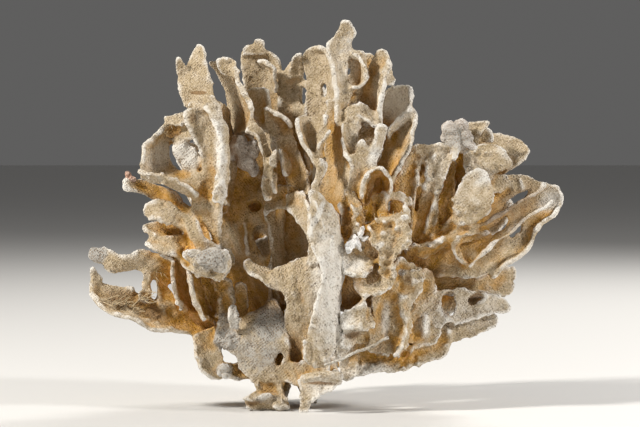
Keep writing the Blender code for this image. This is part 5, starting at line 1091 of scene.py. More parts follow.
back_right_fronds = [
    # the tallest stem at the back
    grow_stem((-4.4, 22, 12, 2.6, 22, 15), (-4.6, 32, 15, 4, 32, 18), (-3.6, 42, 18, 5, 42, 21),
        (-2.4, 52, 20, 5.4, 52, 23), (-1, 60, 20, 6, 60, 22), (0.6, 67, 18, 5.4, 66.6, 20),
        holes=[(2.8, 67, 0.8, 3.2, 5), (1, 47, 1, 2.6, 4)]),
    # its left branch
    grow_stem((-5, 38, 18, 0, 42, 21), (-8.4, 47, 21, -3, 50, 24), (-9.4, 55, 22, -4, 57, 24),
        (-9, 62, 20, -4.6, 63, 22), (-8, 66.6, 18, -5.6, 67, 20), holes=[(-6.6, 56, 0.8, 2.6, 0)], cup=0.2),
    # its right branch
    grow_stem((3, 44, 20, 6, 39, 21), (7.6, 52, 21, 12, 47, 20), (10.4, 58, 19, 15, 54.6, 18),
        (12.2, 62, 16, 15.4, 60.4, 15), holes=[(13.8, 61.4, 0.7, 2.8, 30), (9.4, 52, 0.8, 2.2, 35)]),
    grow_stem((-3, 50, 22, 1, 47, 24), (-4, 55, 26, 0.6, 55, 27), (-3.4, 61, 27, 0, 61, 28),
        holes=[(-1.7, 61.4, 0.65, 2.6, 0)], cup=0.2),
    grow_stem((4.4, 48, 22, 8, 51, 22), (5, 54, 26, 9, 56, 25), (6, 60, 26, 9, 61, 25),
        holes=[(7.6, 60.8, 0.65, 2.6, 12)]),
    # a plate in depth under the right crown
    grow_stem((7.4, 38, 2, 8.6, 38, 10.4), (9.4, 47, 2.6, 10.6, 47, 9.6), (12, 54, 3.6, 13, 54, 8.6),
        (13.6, 60, 4, 14.4, 59.6, 7.4)),
    grow_stem((8.4, 38, 9, 9, 38, 18), (9, 47, 8.6, 10.2, 47, 18), (10.4, 54.6, 9.4, 11.4, 55, 16),
        (11, 60, 10.6, 11.6, 60, 14.4), cup=0.2),
    # the stem under the right fan
    grow_stem((0, 15, 11, 3, 9.6, 11), (9, 22, 13, 13, 15, 14), (17.6, 29, 14, 22, 21, 15),
        (25, 37, 13, 30, 29, 14), (30.6, 43, 11, 36.6, 36, 12), (34.6, 45.4, 9, 39, 40, 10),
        holes=[(37, 43, 2.6, 0.75, -40), (24, 33.4, 2.2, 0.85, -38)]),
    # its upper branch
    grow_stem((15, 28, 13, 21, 26, 15), (18.4, 37, 16, 25, 35, 17), (20.6, 44, 16, 27, 42.6, 16),
        (23.6, 50, 14, 28, 48.6, 14), holes=[(26, 49.6, 0.7, 3, 14), (22.4, 40, 0.8, 2.4, 8)], cup=0.2),
    # its lower branch
    grow_stem((15.6, 21, 14, 18, 15.6, 13), (24, 25, 14, 26, 18.4, 13), (31.4, 27, 11, 33, 21.6, 10),
        holes=[(32.4, 24.4, 2.6, 0.7, 0)]),
    # a plate in depth behind the fan
    grow_stem((14.6, 16, 1, 15.4, 15.6, 8), (19, 25, 1, 20.6, 24.6, 7.4), (22.6, 34, 1.4, 24, 33.6, 7.4),
        (25.6, 43, 2.4, 26.8, 43, 7), (27, 49, 3.6, 27.8, 49, 6.4), cup=0.2),
    grow_stem((15.6, 15.6, 6, 16.4, 15, 13), (20.6, 24, 7, 22, 24, 14), (25, 33, 8.6, 26.6, 33, 15),
        (28.6, 41, 8.4, 30, 41, 14), (31, 47, 8.6, 31.6, 46.6, 12)),
    grow_stem((20, 33, 15, 24, 30, 16), (23, 37, 20, 27, 34.6, 20), (26, 42, 22, 29, 40, 21), cup=0.2),
    grow_stem((26, 32, 14, 29, 36, 13), (29, 31, 18, 32, 35, 16), (32.4, 32.4, 20, 34, 36, 18)),
    # the right low frond and its web
    grow_stem((3.6, 33, 20, 3.4, 28, 22), (9, 34, 20, 9.6, 28, 21), (13, 33, 22, 13, 28, 26)),
    grow_stem((1.4, 6.6, 13, 5, 9, 11), (6, 13, 19, 12, 13, 16), (10, 20, 24, 17, 21, 21),
        (12, 29, 27, 20, 29.6, 24), (13.6, 37, 26, 19, 37.6, 24), holes=[(16.4, 37.4, 0.9, 3.4, 5),
        (15, 25, 1, 2.6, 8)], cup=0.2),
    grow_frond((-6, 38, 28, -2, 36, 28.4), (-8.6, 43, 28.4, -4, 43, 28.4), (-8, 48, 28, -5, 48, 28.4),
        holes=[(-6.4, 48.2, 0.65, 2.2, 0)]),
    grow_frond((-2, 37, 28.4, 1.6, 38, 28.4), (-0.6, 43, 28.4, 4, 43, 28.4), (1, 48, 28, 4, 48, 27),
        holes=[(2.5, 48.2, 0.65, 2.2, 0)]),
    grow_frond((-19, 26, 25, -15, 27, 27), (-20, 31, 28, -16, 33, 28.4), (-19.6, 36, 28.4, -17, 37, 28.4)),
    grow_frond((12, 31, 27, 16, 29, 27), (12.4, 36, 28.4, 16.6, 35, 28.4), (13, 41, 28, 16, 41, 28),
        holes=[(14.6, 41.2, 0.65, 2.2, 0)]),
    # spurs and lobes along the backs of the fronds
    grow_spur((26, 37, 14, 29, 34, 14), (31, 41, 17, 34, 37.6, 16.6), (35, 43.6, 18, 36.8, 41, 17.6)),
    grow_spur((11, 19, 21, 14, 17, 20), (16.6, 22.6, 24, 19.4, 20, 23), (21, 25.6, 25, 22.8, 23.4, 24.4)),
    grow_spur((2, 55, 21, 5, 53, 21), (-1.2, 60, 23.6, 1.4, 60, 24), (-3, 65.6, 24, -1.4, 65.8, 24)),
    grow_spur((8, 46, 20, 11, 45, 19), (13, 49, 22.6, 15.4, 46.6, 22), (17, 53, 23, 18.6, 51.4, 22.6)),
    # lobes on the side of the deep plate
    grow_spur((21.6, 24, 4, 22, 24, 9), (26, 28.6, 4, 26.6, 28.6, 9), (29.6, 33.6, 5, 30, 33.6, 8.6)),
    grow_spur((26.4, 40, 5, 27, 40, 10), (30, 45, 5.6, 30.4, 45, 10), (31, 50, 6.6, 31.2, 50, 9.4)),
    grow_spur((12.4, 50, 6, 13, 50, 11), (16.4, 54.6, 6, 16.8, 55, 10.4), (18, 59.6, 6.6, 18.2, 59.6, 9.4)),
]

fuse("rear_right_fronds", back_right_fronds, ["rear_centre", "rear_fin_right", "rear_right",
    "rear_low_right"], grain=0.345, ease=2)

# ---------------------------------------------------------------- growths on the colony
# What settled on the dead skeleton: a grey crust nodule and a grey crust cap, a pink tuft, a pale blob, white
# calcite chunks, a worm's limy tube and a broken twig of another colony. Each is stuck on where it grew.


SMALLEST_CRUST = 200  # points


def settle(name, pieces, nodes, grain=0.17, crumble=0.5, roughness=0.4, ease=1):
    """Joins the lumps of one growth under one skin and roughens it."""
    growth = join_up(name, pieces)
    for pattern, share in ((CRUMBLE, 1.0), (GRAIN, 0.7)):
        apply(growth, "DISPLACE", texture=pattern, texture_coords="LOCAL", direction="RGB_TO_XYZ",
              strength=crumble * share * MM)
    apply(growth, "REMESH", mode="VOXEL", voxel_size=grain * MM)
    apply(growth, "SMOOTH", factor=0.5, iterations=ease)
    apply(growth, "DISPLACE", texture=GRAIN, texture_coords="LOCAL", strength=roughness * MM)
    drop_loose(growth, SMALLEST_CRUST)
    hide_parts(*nodes)
    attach(growth, "root")
    return growth


nodule = settle("nodule", [
    grow_lump((-17.6, 52.6, -4.2), (1.9, 2.2, 2.0), -20, lumpy=0.9),
    grow_lump((-14.9, 51.8, -4.4), (1.4, 2.0, 1.7), 10, lumpy=0.9),
    grow_lump((-16.2, 49.4, -4.6), (2.0, 1.8, 1.8), 30, lumpy=0.9),
    grow_lump((-14.8, 47.8, -4.2), (1.1, 1.5, 1.2), -15, lumpy=0.9),
    grow_lump((-18.8, 50.8, -3.8), (1.1, 1.2, 1.2), 0, lumpy=0.9)], ["grey_nodule"], crumble=1.0,
        roughness=0.4, ease=3)
cap = settle("cap", [
    grow_lump((24.5, 56, -3.6), (1.7, 1.5, 1.5), 10, lumpy=0.9),
    grow_lump((26.8, 56.8, -3.4), (1.5, 1.3, 1.3), -15, lumpy=0.9),
    grow_lump((25.2, 53.8, -3.6), (1.4, 1.9, 1.2), 15, lumpy=0.9),
    grow_lump((27.8, 54.6, -3.4), (1.6, 1.2, 1.1), 30, lumpy=0.9),
    grow_lump((23.6, 54.4, -3.2), (0.9, 1.3, 1.0), 0, lumpy=0.9),
    grow_lump((28.6, 52.8, -3.6), (2.2, 0.9, 0.8), 25, lumpy=0.8),
    grow_lump((25.4, 51.2, -3.8), (0.7, 1.6, 0.7), 5, lumpy=0.8)], ["grey_cap"], crumble=0.7, roughness=0.35,
        ease=4)
knee_patch = settle("knee_patch", [
    grow_lump((-23.2, 30.7, -14.8), (2.6, 1.6, 0.7), -10, lumpy=0.9),
    grow_lump((-25.8, 31.2, -13.8), (1.9, 0.9, 0.6), 20, lumpy=1.0),
    grow_lump((-20.3, 30.4, -13.9), (1.0, 2.1, 0.6), 15, lumpy=1.0),
    grow_lump((-21.2, 29, -14.2), (1.6, 1.3, 0.7), 15, lumpy=0.9)], ["knee_crust"], crumble=0.8,
        roughness=0.5)
tuft = settle("tuft", [
    grow_lump((-39.6, 46.8, -6), (0.7, 0.8, 0.9), 0, lumpy=1.0),
    grow_lump((-38.8, 46, -6.3), (0.8, 0.6, 0.8), 30, lumpy=1.0),
    grow_lump((-39.9, 45.8, -6.2), (0.5, 0.6, 0.6), 30, lumpy=1.0)], ["pink_tuft"], grain=0.12, crumble=0.7)
blob = settle("blob", [
    grow_lump((-20.4, 8.5, -9.6), (1.3, 0.9, 1.0), 0, lumpy=0.6),
    grow_lump((-20.0, 7.2, -9.7), (1.0, 0.8, 0.8), 0, lumpy=0.6),
    grow_lump((-21.2, 7.6, -9.4), (0.7, 0.7, 0.7), 0, lumpy=0.6)], ["foot_blob"], grain=0.14, crumble=0.4,
        roughness=0.2)
chunk_low = settle("chunk_low", [
    grow_lump((4.6, 32.9, -13.7), (0.9, 1.3, 0.8), 25, lumpy=1.0),
    grow_lump((5.7, 33.8, -13.4), (0.7, 1.5, 0.7), -25, lumpy=1.0),
    grow_lump((5.0, 33.3, -13.8), (1.3, 0.5, 0.6), -15, lumpy=1.0),
    grow_lump((6.0, 32.6, -13.2), (0.9, 0.5, 0.6), 40, lumpy=1.0)], ["white_chunk_low"], grain=0.12,
        crumble=1.4)
chunk_high = settle("chunk_high", [
    grow_lump((6.8, 35.7, -13), (0.5, 1.2, 0.6), 10, lumpy=1.0),
    grow_lump((7.3, 34.4, -12.8), (0.9, 0.5, 0.6), -30, lumpy=1.0),
    grow_lump((6.5, 34.9, -13), (0.4, 0.9, 0.5), -35, lumpy=1.0)], ["white_chunk_high"], grain=0.12,
        crumble=1.1)
tube = settle("tube", [
    grow_rib((12.1, 15, -14.2), (10.4, 14.3, -14.2), (9.2, 13.3, -14.4), (7.4, 12.7, -14.5), (6, 12.3, -14.8),
        (4.4, 11.6, -15.6), (2, 10.5, -17), (-0.6, 9.8, -17), radius=0.36, taper=0.8)], ["worm_tube"],
        grain=0.12, crumble=0.25, roughness=0.12, ease=2)
twig = settle("twig", [
    grow_rib((-4.7, 7.0, -16.2), (-2.8, 7.4, -16.6), (-0.4, 7.7, -16.6), (1.4, 7.7, -16.2), (2.7, 7.2, -15.4),
        radius=0.95, taper=0.95),
    grow_lump((-4.4, 7.1, -16.2), (0.9, 0.8, 0.8), 0, lumpy=0.6),
    grow_rib((-1, 6.9, -15.8), (1, 7.0, -15.6), (2.6, 6.6, -15), radius=0.6, taper=0.9),
    grow_lump((1.6, 8.3, -15.8), (0.9, 0.5, 0.7), -20, lumpy=0.9)], ["broken_twig"], grain=0.14, crumble=0.4,
        roughness=0.35)
growths = [nodule, cap, knee_patch, tuft, blob, chunk_low, chunk_high, tube, twig]

# ---------------------------------------------------------------- fibres
# Fine threads caught in the groove of the low wing, round the nodule and along the crumbled web.
# They are byssus and root hairs, loose at one end and held by the dirt at the other.

chance = Random(31)


def grow_thread(limb, centre, reach, lengths, heading, thickness):
    """One thread that starts on the limb near this spot and arches out of it."""
    spot = place(*(c + r * chance.uniform(-1, 1) for c, r in zip(centre, reach)))
    start, outward = limb.closest_point_on_mesh(spot)[1:3]
    along = Vector([value + chance.uniform(-0.6, 0.6) for value in heading]).normalized()
    length = chance.uniform(*lengths) * MM
    bow = chance.uniform(0.1, 0.35) * length
    knots = [start - outward * 0.1 * MM,
             start + along * 0.3 * length + outward * bow,
             start + along * 0.7 * length + outward * bow * chance.uniform(0.5, 1.4),
             start + along * length + outward * bow * chance.uniform(-0.1, 1.0)]
    points = [(knot.x / MM, knot.z / MM, knot.y / MM + MIDDLE_DEPTH) for knot in knots]
    return grow_rib(*points, radius=thickness, taper=0.5)


threads = []
for limb, centre, reach, lengths, heading, thickness, count in (
        (left_arm_limb, (-39.5, 21.6, -8), (5.4, 1.6, 1), (1.2, 3.2), (0.9, 0.1, 0.2), 0.085, 46),
        (left_arm_limb, (-34.4, 26.4, -6), (2.2, 1.6, 1), (0.8, 2.0), (0.4, -0.2, -0.7), 0.075, 12),
        (left_limb, (-30.5, 56, -6), (2.4, 1.2, 1), (0.6, 1.5), (0.2, -0.3, 0.4), 0.07, 12),
        (web, (11.5, 37.4, -12), (3.4, 2.4, 1), (0.6, 1.6), (0.1, -0.5, 0.8), 0.075, 16),
        (web, (10.5, 29, -12), (3, 2.6, 1), (0.6, 1.4), (0.3, -0.6, -0.3), 0.07, 12),
        (fan, (23.5, 41.5, -6), (1.4, 1.0, 1), (1.0, 2.2), (0.7, -0.4, 0.6), 0.085, 6),
        (inner_limb, (-12, 52.4, -7), (0.5, 0.6, 0.6), (1.8, 2.6), (0.9, -0.5, 0.6), 0.06, 4)):
    threads += [grow_thread(limb, centre, reach, lengths, heading, thickness) for _ in range(count)]
fibres = join_up("fibres", threads)
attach(fibres, "root")

# ---------------------------------------------------------------- weathering, painted light and painted shade of the limestone
# The skeleton is painted paler where it stands out, partly bleaching and partly painted highlight, and ochre
# in its hollows, partly stain and partly painted shade. Every limb gets three masks from its own shape: edge
# on its rims, hollow in its dips, and crowd where the colony closes round it, which darkens the colour as
# painted shade.

CELL = 1.0  # mm, side of the boxes that count how crowded a place is
REACH = 4.0  # how far in front of its surface a place is counted
EASE_ROUNDS = 26  # rounds of averaging that level out a rim or a dip
BULGE_ROUNDS = 6
CROWD_ROUNDS = 12
PLAIN_BULGE, FULL_BULGE = 0.06, 0.30  # mm that a rim stands out by where the edge mask starts and is full
FULL_DIP = 0.2
OPEN_AIR, CLOSED_IN = 0.13, 0.35  # share of the boxes round a place that hold limestone


def neighbour_means(mesh, values, rounds):
    """Each point's value, averaged with its neighbours' again and again."""
    a, b = read_edges(mesh).T
    count = len(mesh.vertices)
    share = np.bincount(a, minlength=count) + np.bincount(b, minlength=count)
    for _ in range(rounds):
        columns = [np.bincount(a, values[:, c][b], count) + np.bincount(b, values[:, c][a], count)
                   for c in range(values.shape[1])]
        values = np.stack(columns, 1) / np.maximum(share, 1)[:, None]
    return values


def paint(mesh, name, values):
    layer = mesh.attributes.new(name, "FLOAT", "POINT")
    layer.data.foreach_set("value", np.clip(values, 0, 1).astype(np.float32))


def spread(field, reach):
    """The field averaged over boxes of this reach, one axis after another."""
    for axis in range(3):
        total = sum(np.roll(field, step, axis) for step in range(-reach, reach + 1))
        field = total / (2 * reach + 1)
    return field


# Where grey net-like crust lies, where dirt together with painted shadow darkens, and where bleached white
# together with painted light pales: x, z, half width, half height, tilt, strength, and how far back (y) they
# reach.
ZONES = {
    "crusted": [(-11.5, 17, 3.4, 4.2, 0, 1.0, -2), (-20, 14, 3, 2.8, 0, 1.0, -3),
        (-14, 11.4, 7, 5.4, 0, 0.62, -3), (-20.6, 17.4, 1.6, 3, 0, 0.6, -3), (-23, 30.5, 4, 3, -10, 0.75, -5),
        (-46, 30.9, 2.4, 2, 0, 1.0, 0), (26, 54.4, 4, 3.4, 0, 0.7, 0), (-20.4, 8, 2, 1.6, 0, 0.9, -5),
        (-12, 2.4, 4.6, 1.6, 0, 0.5, -4), (-16.6, 70, 2, 2, 0, 0.6, 0), (-34, 46.4, 4, 1.2, 20, 0.4, -5),
        (30, 47, 4, 2.4, -30, 0.4, 0), (14.7, 27.6, 0.9, 0.8, 0, 0.9, -6), (4, 73.5, 2, 3.4, 20, 0.5, 0)],
    # dirt and painted shadow: real dirt in grooves and hollows, and painted shadow in holes, the crack and
    # under the twig
    "dirt_and_shade": [(-1.4, 5.8, 3.4, 0.5, 3, 0.9, -5), (-13.1, 33.6, 1.3, 3.4, -12, 0.8, 12),
        (36, 39, 9.5, 4, -38, 0.72, 3), (24.3, 20.9, 1.5, 2.3, 0, 1.2, 8),
        (29.8, 22.2, 1.6, 0.9, -30, 1.2, 8), (21.7, 27, 1.8, 1.2, 0, 0.8, 4), (-18, 44, 4, 9, 0, 0.3, 8),
        (-25.7, 63.2, 1.6, 0.4, 0, 1.8, 0), (-40, 22, 5.6, 2, 12, 0.75, -3),
        (-34.6, 19.6, 3, 1.8, 20, 0.8, -3), (-30.6, 55.2, 2, 1.5, -25, 0.8, 0),
        (-26.6, 58, 0.9, 1.5, 0, 0.7, 0), (-6.2, 12, 1.5, 3.4, 0, 0.9, 2), (4.5, 23.6, 2.6, 3.6, 0, 0.75, 2),
        (12, 19, 3, 5.4, 0, 0.25, 0), (5, 15.3, 2, 1, 0, 0.8, 0), (15.8, 26.4, 1.4, 1.1, 0, 0.7, 0),
        (8.7, 27.2, 1, 2, 0, 0.7, 0), (-12, 22, 4, 4.4, 0, 0.6, 4), (24, 32, 4, 1, -20, 0.5, 0),
        (-24, 34.8, 1.2, 2, -35, 0.6, 0), (-15, 1.6, 2, 0.7, 0, 0.8, 0), (10.5, 12.6, 3.6, 1.6, -15, 0.55, 0),
        (3.6, 38, 0.9, 4, 0, 0.7, 0), (-16, 36, 4, 12, 0, 0.25, 8), (10.6, 35.6, 2.4, 3, 0, 0.35, -4)],
    # bleached white and painted light: real bleaching, painted light on faces and rims that lie in shade, and
    # painted highlights on the blade's ridges
    "bleached_and_lit": [(45.2, 41.8, 3, 2.2, -40, 0.7, 3), (33, 19.4, 4, 5, 0, 0.4, 0),
        (-1, 4.8, 3.6, 2.8, 0, 0.6, -5), (7.5, 8.2, 6, 1.5, -8, 0.6, -5), (1.0, 32.4, 0.6, 2.8, -4, 1.2, -9),
        (-1.6, 39.4, 0.6, 3, 22, 1.2, -10), (-3, 37, 0.5, 2.6, 14, 0.8, -10), (14, 61, 4, 5, 0, 0.6, 6),
        (11.6, 18, 0.9, 4, 0, 0.6, -6), (1.2, 24, 4.6, 16, -4, 0.8, -10), (24, 47, 8, 9, 0, 0.3, -2),
        (9, 57, 6, 8, 0, 0.25, -3), (-28.2, 50.8, 3.2, 3, 0, 1.0, 1), (-33.6, 50.4, 2.6, 4, 20, 0.5, -1),
        (-0.6, 33, 2.6, 7, 5, 0.45, -8), (9.4, 50.5, 1.4, 2.2, 20, 1.0, -4), (19.6, 17, 1.1, 2.6, 0, 0.9, -3),
        (5.6, 29, 2.2, 1.6, 0, 0.7, -8), (-18.3, 18.3, 1.1, 2.4, 0, 0.8, -6),
        (31.4, 46, 2.6, 1.4, -30, 0.6, 0), (-21, 51, 1.4, 11, -3, 0.6, -8), (4, 70, 3, 8, 10, 0.35, 2),
        (26, 19.6, 9, 4.6, 0, 0.4, 0), (8, 57, 3, 5, 0, 0.25, -3)]}


def zone(points, spots):
    """How strongly the spots of one kind cover each point, from 0 to 1."""
    cover = np.zeros(len(points))
    for x, z, half_width, half_height, tilt, strength, back in spots:
        turn = radians(tilt)
        across, up = points[:, 0] - x, points[:, 2] - z
        along = (across * cos(turn) - up * sin(turn)) / half_width
        over = (across * sin(turn) + up * cos(turn)) / half_height
        within = np.exp(-(along ** 2 + over ** 2) ** 1.5)
        behind = points[:, 1] > back - MIDDLE_DEPTH
        cover = np.maximum(cover, np.where(behind, 0, within * strength))
    return cover


# boxes that hold the colony with room to spare, and how full their surroundings are, near and far
low = np.array([-60.0, -45.0, -12.0])
cells = np.zeros((120, 90, 104))
for limb in limbs:
    spot = ((read_points(limb.data) / MM - low) / CELL).astype(int)
    np.add.at(cells, tuple(spot.T), 1)
solid = (cells > 0).astype(float)
crowding = spread(spread(solid, 2), 3)
enclosure = spread(spread(solid, 5), 6)
for limb in limbs + growths:
    mesh = limb.data
    points, normals = read_points(mesh) / MM, read_normals(mesh)
    eased = neighbour_means(mesh, points, EASE_ROUNDS)
    bulge = ((points - eased) * normals).sum(1)
    broad = neighbour_means(mesh, bulge[:, None], BULGE_ROUNDS)[:, 0]
    paint(mesh, "edge", (broad - PLAIN_BULGE) / (FULL_BULGE - PLAIN_BULGE))
    paint(mesh, "hollow", -broad / FULL_DIP)
    # the crowding mask: how closed in the space before each point is; the colour is darkened with it as
    # painted shade
    spot = ((points + normals * REACH - low) / CELL).astype(int)
    dense = 0.5 * crowding[tuple(spot.T)] + 0.5 * enclosure[tuple(spot.T)]
    dense = neighbour_means(mesh, dense[:, None], CROWD_ROUNDS)[:, 0]
    paint(mesh, "crowd_shade", (dense - OPEN_AIR) / (CLOSED_IN - OPEN_AIR))
    for name, spots in ZONES.items():
        paint(mesh, name, zone(points, spots))


def new_group(name, inputs, outputs):
    """An empty shader group with these sockets, and its input and output nodes."""
    group = bpy.data.node_groups.new(name, "ShaderNodeTree")
    for label, kind, value in inputs:
        socket = group.interface.new_socket(label, in_out="INPUT", socket_type="NodeSocket" + kind)
        socket.default_value = value
    for label, kind in outputs:
        group.interface.new_socket(label, in_out="OUTPUT", socket_type="NodeSocket" + kind)
    return group, group.nodes.new("NodeGroupInput"), group.nodes.new("NodeGroupOutput")


def wire(tree, source, target):
    tree.links.new(source, target)


def add(tree, kind, **settings):
    """A node of this kind with these properties."""
    node = tree.nodes.new("ShaderNode" + kind)
    for name, value in settings.items():
        setattr(node, name, value)
    return node


def blend_colours(tree, amount, first, second, mode="MIX"):
    """A mix of two colours. Each of the three is a socket or a value."""
    node = add(tree, "Mix", data_type="RGBA", blend_type=mode)
    for socket, given in ((node.inputs[0], amount), (node.inputs[6], first), (node.inputs[7], second)):
        if isinstance(given, bpy.types.NodeSocket):
            wire(tree, given, socket)
        else:
            socket.default_value = (*given, 1) if isinstance(given, tuple) else given
    return node.outputs[2]


def reckon(tree, operation, first, second=0.0, clamp=False):
    """A sum on one or two sockets or numbers."""
    node = add(tree, "Math", operation=operation, use_clamp=clamp)
    for socket, given in zip(node.inputs, (first, second)):
        if isinstance(given, bpy.types.NodeSocket):
            wire(tree, given, socket)
        else:
            socket.default_value = given
    return node.outputs[0]


def plus(tree, total, part, share):
    """The total with this share of the part added."""
    return reckon(tree, "ADD", total, reckon(tree, "MULTIPLY", part, share))


def ramp(tree, value, low_end, high_end, low_value=0.0, high_value=1.0):
    """The value carried smoothly from one range to another."""
    node = add(tree, "MapRange", interpolation_type="SMOOTHSTEP")
    wire(tree, value, node.inputs["Value"])
    for label, number in (("From Min", low_end), ("From Max", high_end), ("To Min", low_value),
        ("To Max", high_value)):
        node.inputs[label].default_value = number
    return node.outputs["Result"]


def noise_of(tree, where, size_mm, detail=3.0, roughness=0.6, stretch=None):
    """Noise whose lumps are about this many millimetres across."""
    if stretch:
        mapping = add(tree, "Mapping")
        mapping.inputs["Scale"].default_value = stretch
        wire(tree, where, mapping.inputs["Vector"])
        where = mapping.outputs["Vector"]
    node = add(tree, "TexNoise")
    node.inputs["Scale"].default_value = 1 / (size_mm * MM)
    node.inputs["Detail"].default_value = detail
    node.inputs["Roughness"].default_value = roughness
    wire(tree, where, node.inputs["Vector"])
    return node.outputs["Fac"]


def cells_of(tree, where, size_mm, feature="F1", jitter=1.0):
    node = add(tree, "TexVoronoi", feature=feature)
    node.inputs["Scale"].default_value = 1 / (size_mm * MM)
    node.inputs["Randomness"].default_value = jitter
    wire(tree, where, node.inputs["Vector"])
    return node.outputs["Distance"]


# Pores: the mouths of the tiny chambers, about 0.45 mm apart, with finer grain between them.
pores, given, put = new_group("pores", [("Size", "Float", 0.00045), ("Depth", "Float", 1.0)],
                              [("Pit", "Float"), ("Height", "Float"), ("Speck", "Float"), ("Mouth", "Float")])
where = add(pores, "TexCoord").outputs["Object"]
wobble = add(pores, "TexNoise")
wobble.inputs["Scale"].default_value = 900
wire(pores, where, wobble.inputs["Vector"])
shift = add(pores, "VectorMath", operation="SCALE")
shift.inputs["Scale"].default_value = 0.00025
wire(pores, wobble.outputs["Color"], shift.inputs[0])
bent = add(pores, "VectorMath", operation="ADD")
wire(pores, where, bent.inputs[0])
wire(pores, shift.outputs[0], bent.inputs[1])
rows = add(pores, "Mapping")
rows.inputs["Rotation"].default_value = (radians(20), radians(37), radians(12))
wire(pores, bent.outputs[0], rows.inputs["Vector"])
mouths = add(pores, "TexVoronoi")
mouths.inputs["Randomness"].default_value = 0.45
wire(pores, rows.outputs[0], mouths.inputs["Vector"])
wire(pores, reckon(pores, "DIVIDE", 1.0, given.outputs["Size"]), mouths.inputs["Scale"])
patchy = ramp(pores, noise_of(pores, where, 3.0, 3.0), 0.40, 0.60, 0.25, 1.0)
mouth = ramp(pores, mouths.outputs["Distance"], 0.52, 0.24)
wire(pores, mouth, put.inputs["Mouth"])
pit = reckon(pores, "MULTIPLY", mouth, patchy)
wire(pores, reckon(pores, "MULTIPLY", pit, given.outputs["Depth"]), put.inputs["Pit"])
specks = ramp(pores, cells_of(pores, bent.outputs[0], 0.9), 0.26, 0.12)
specks = reckon(pores, "MULTIPLY", specks, ramp(pores, noise_of(pores, where, 4.0, 3.0), 0.44, 0.56))
wire(pores, specks, put.inputs["Speck"])
grit = reckon(pores, "MULTIPLY", noise_of(pores, where, 0.25, 4.0, 0.7), 0.9)
lumps = reckon(pores, "MULTIPLY", noise_of(pores, where, 1.1, 4.0, 0.65), 1.2)
height = reckon(pores, "SUBTRACT", reckon(pores, "ADD", grit, lumps), reckon(pores, "MULTIPLY", pit, 0.8))
wire(pores, reckon(pores, "SUBTRACT", height, specks), put.inputs["Height"])

# Bleaching and painted light: ochre in the hollows, partly stain and partly painted shade, tan on the faces,
# cream on the rims, partly bleaching and partly painted highlight, broken up by stains and painted shadows.
weathering_and_painted_light, given, put = new_group(
    "weathering_and_painted_light",
    [("Deep", "Color", (0.47, 0.265, 0.075, 1)), ("Face", "Color", (0.60, 0.50, 0.35, 1)),
     ("Rim", "Color", (0.78, 0.72, 0.60, 1)), ("Stain_and_shadow", "Color", (0.26, 0.15, 0.06, 1)),
     ("Crust", "Color", (0.52, 0.49, 0.44, 1))],
    [("Color", "Color"), ("Pale", "Float"), ("Deepness", "Float"), ("Crusted", "Float")])
where = add(weathering_and_painted_light, "TexCoord").outputs["Object"]
edge, hollow, crowd_shade, dirt_and_shade, crusted, bleached_and_lit = (
    add(weathering_and_painted_light, "Attribute", attribute_name=name).outputs["Fac"]
    for name in ("edge", "hollow", "crowd_shade", "dirt_and_shade", "crusted", "bleached_and_lit"))
# streaks run out from the foot, along the way the fronds grew
parts = add(weathering_and_painted_light, "SeparateXYZ")
wire(weathering_and_painted_light, where, parts.inputs[0])
rise = reckon(weathering_and_painted_light, "SUBTRACT", parts.outputs["Z"], GROWTH_START * MM)
turn = reckon(weathering_and_painted_light, "ARCTAN2", parts.outputs["X"], rise)
square = reckon(weathering_and_painted_light, "ADD", reckon(weathering_and_painted_light, "MULTIPLY", parts.outputs["X"], parts.outputs["X"]),
    reckon(weathering_and_painted_light, "MULTIPLY", rise, rise))
reach = reckon(weathering_and_painted_light, "SQRT", square)
fan_out = add(weathering_and_painted_light, "CombineXYZ")
wire(weathering_and_painted_light, reckon(weathering_and_painted_light, "MULTIPLY", turn, 0.042), fan_out.inputs["X"])
wire(weathering_and_painted_light, reckon(weathering_and_painted_light, "MULTIPLY", reach, 0.13), fan_out.inputs["Z"])
wire(weathering_and_painted_light, reckon(weathering_and_painted_light, "MULTIPLY", parts.outputs["Y"], 0.3), fan_out.inputs["Y"])
streaks = reckon(weathering_and_painted_light, "SUBTRACT", noise_of(weathering_and_painted_light, fan_out.outputs[0], 1.1, 4.0, 0.6), 0.5)
broad_noise = reckon(weathering_and_painted_light, "SUBTRACT", noise_of(weathering_and_painted_light, where, 6.0, 5.0, 0.6), 0.5)
middle_noise = reckon(weathering_and_painted_light, "SUBTRACT", noise_of(weathering_and_painted_light, where, 1.6, 5.0, 0.65), 0.5)
fine_noise = reckon(weathering_and_painted_light, "SUBTRACT", noise_of(weathering_and_painted_light, where, 0.36, 4.0, 0.75), 0.5)
# how far the colour goes over to the deep ochre: partly stain, partly painted shade where the colony is
# crowded and in dips
depth = plus(weathering_and_painted_light, crowd_shade, broad_noise, 1.0)
depth = plus(weathering_and_painted_light, depth, middle_noise, 0.35)
depth = plus(weathering_and_painted_light, depth, hollow, 0.40)
depth = plus(weathering_and_painted_light, depth, streaks, 1.0)
# the ochre and painted shade fade higher up, so the crown is painted paler towards its top; bleached and lit
# spots lift them too
height_up = ramp(weathering_and_painted_light, parts.outputs["Z"], 38 * MM, 66 * MM, 0.0, 0.6)
depth = reckon(weathering_and_painted_light, "SUBTRACT", reckon(weathering_and_painted_light, "SUBTRACT", depth, height_up), bleached_and_lit)
deep = ramp(weathering_and_painted_light, depth, 0.0, 0.95)
face = blend_colours(weathering_and_painted_light, deep, given.outputs["Face"], given.outputs["Deep"])
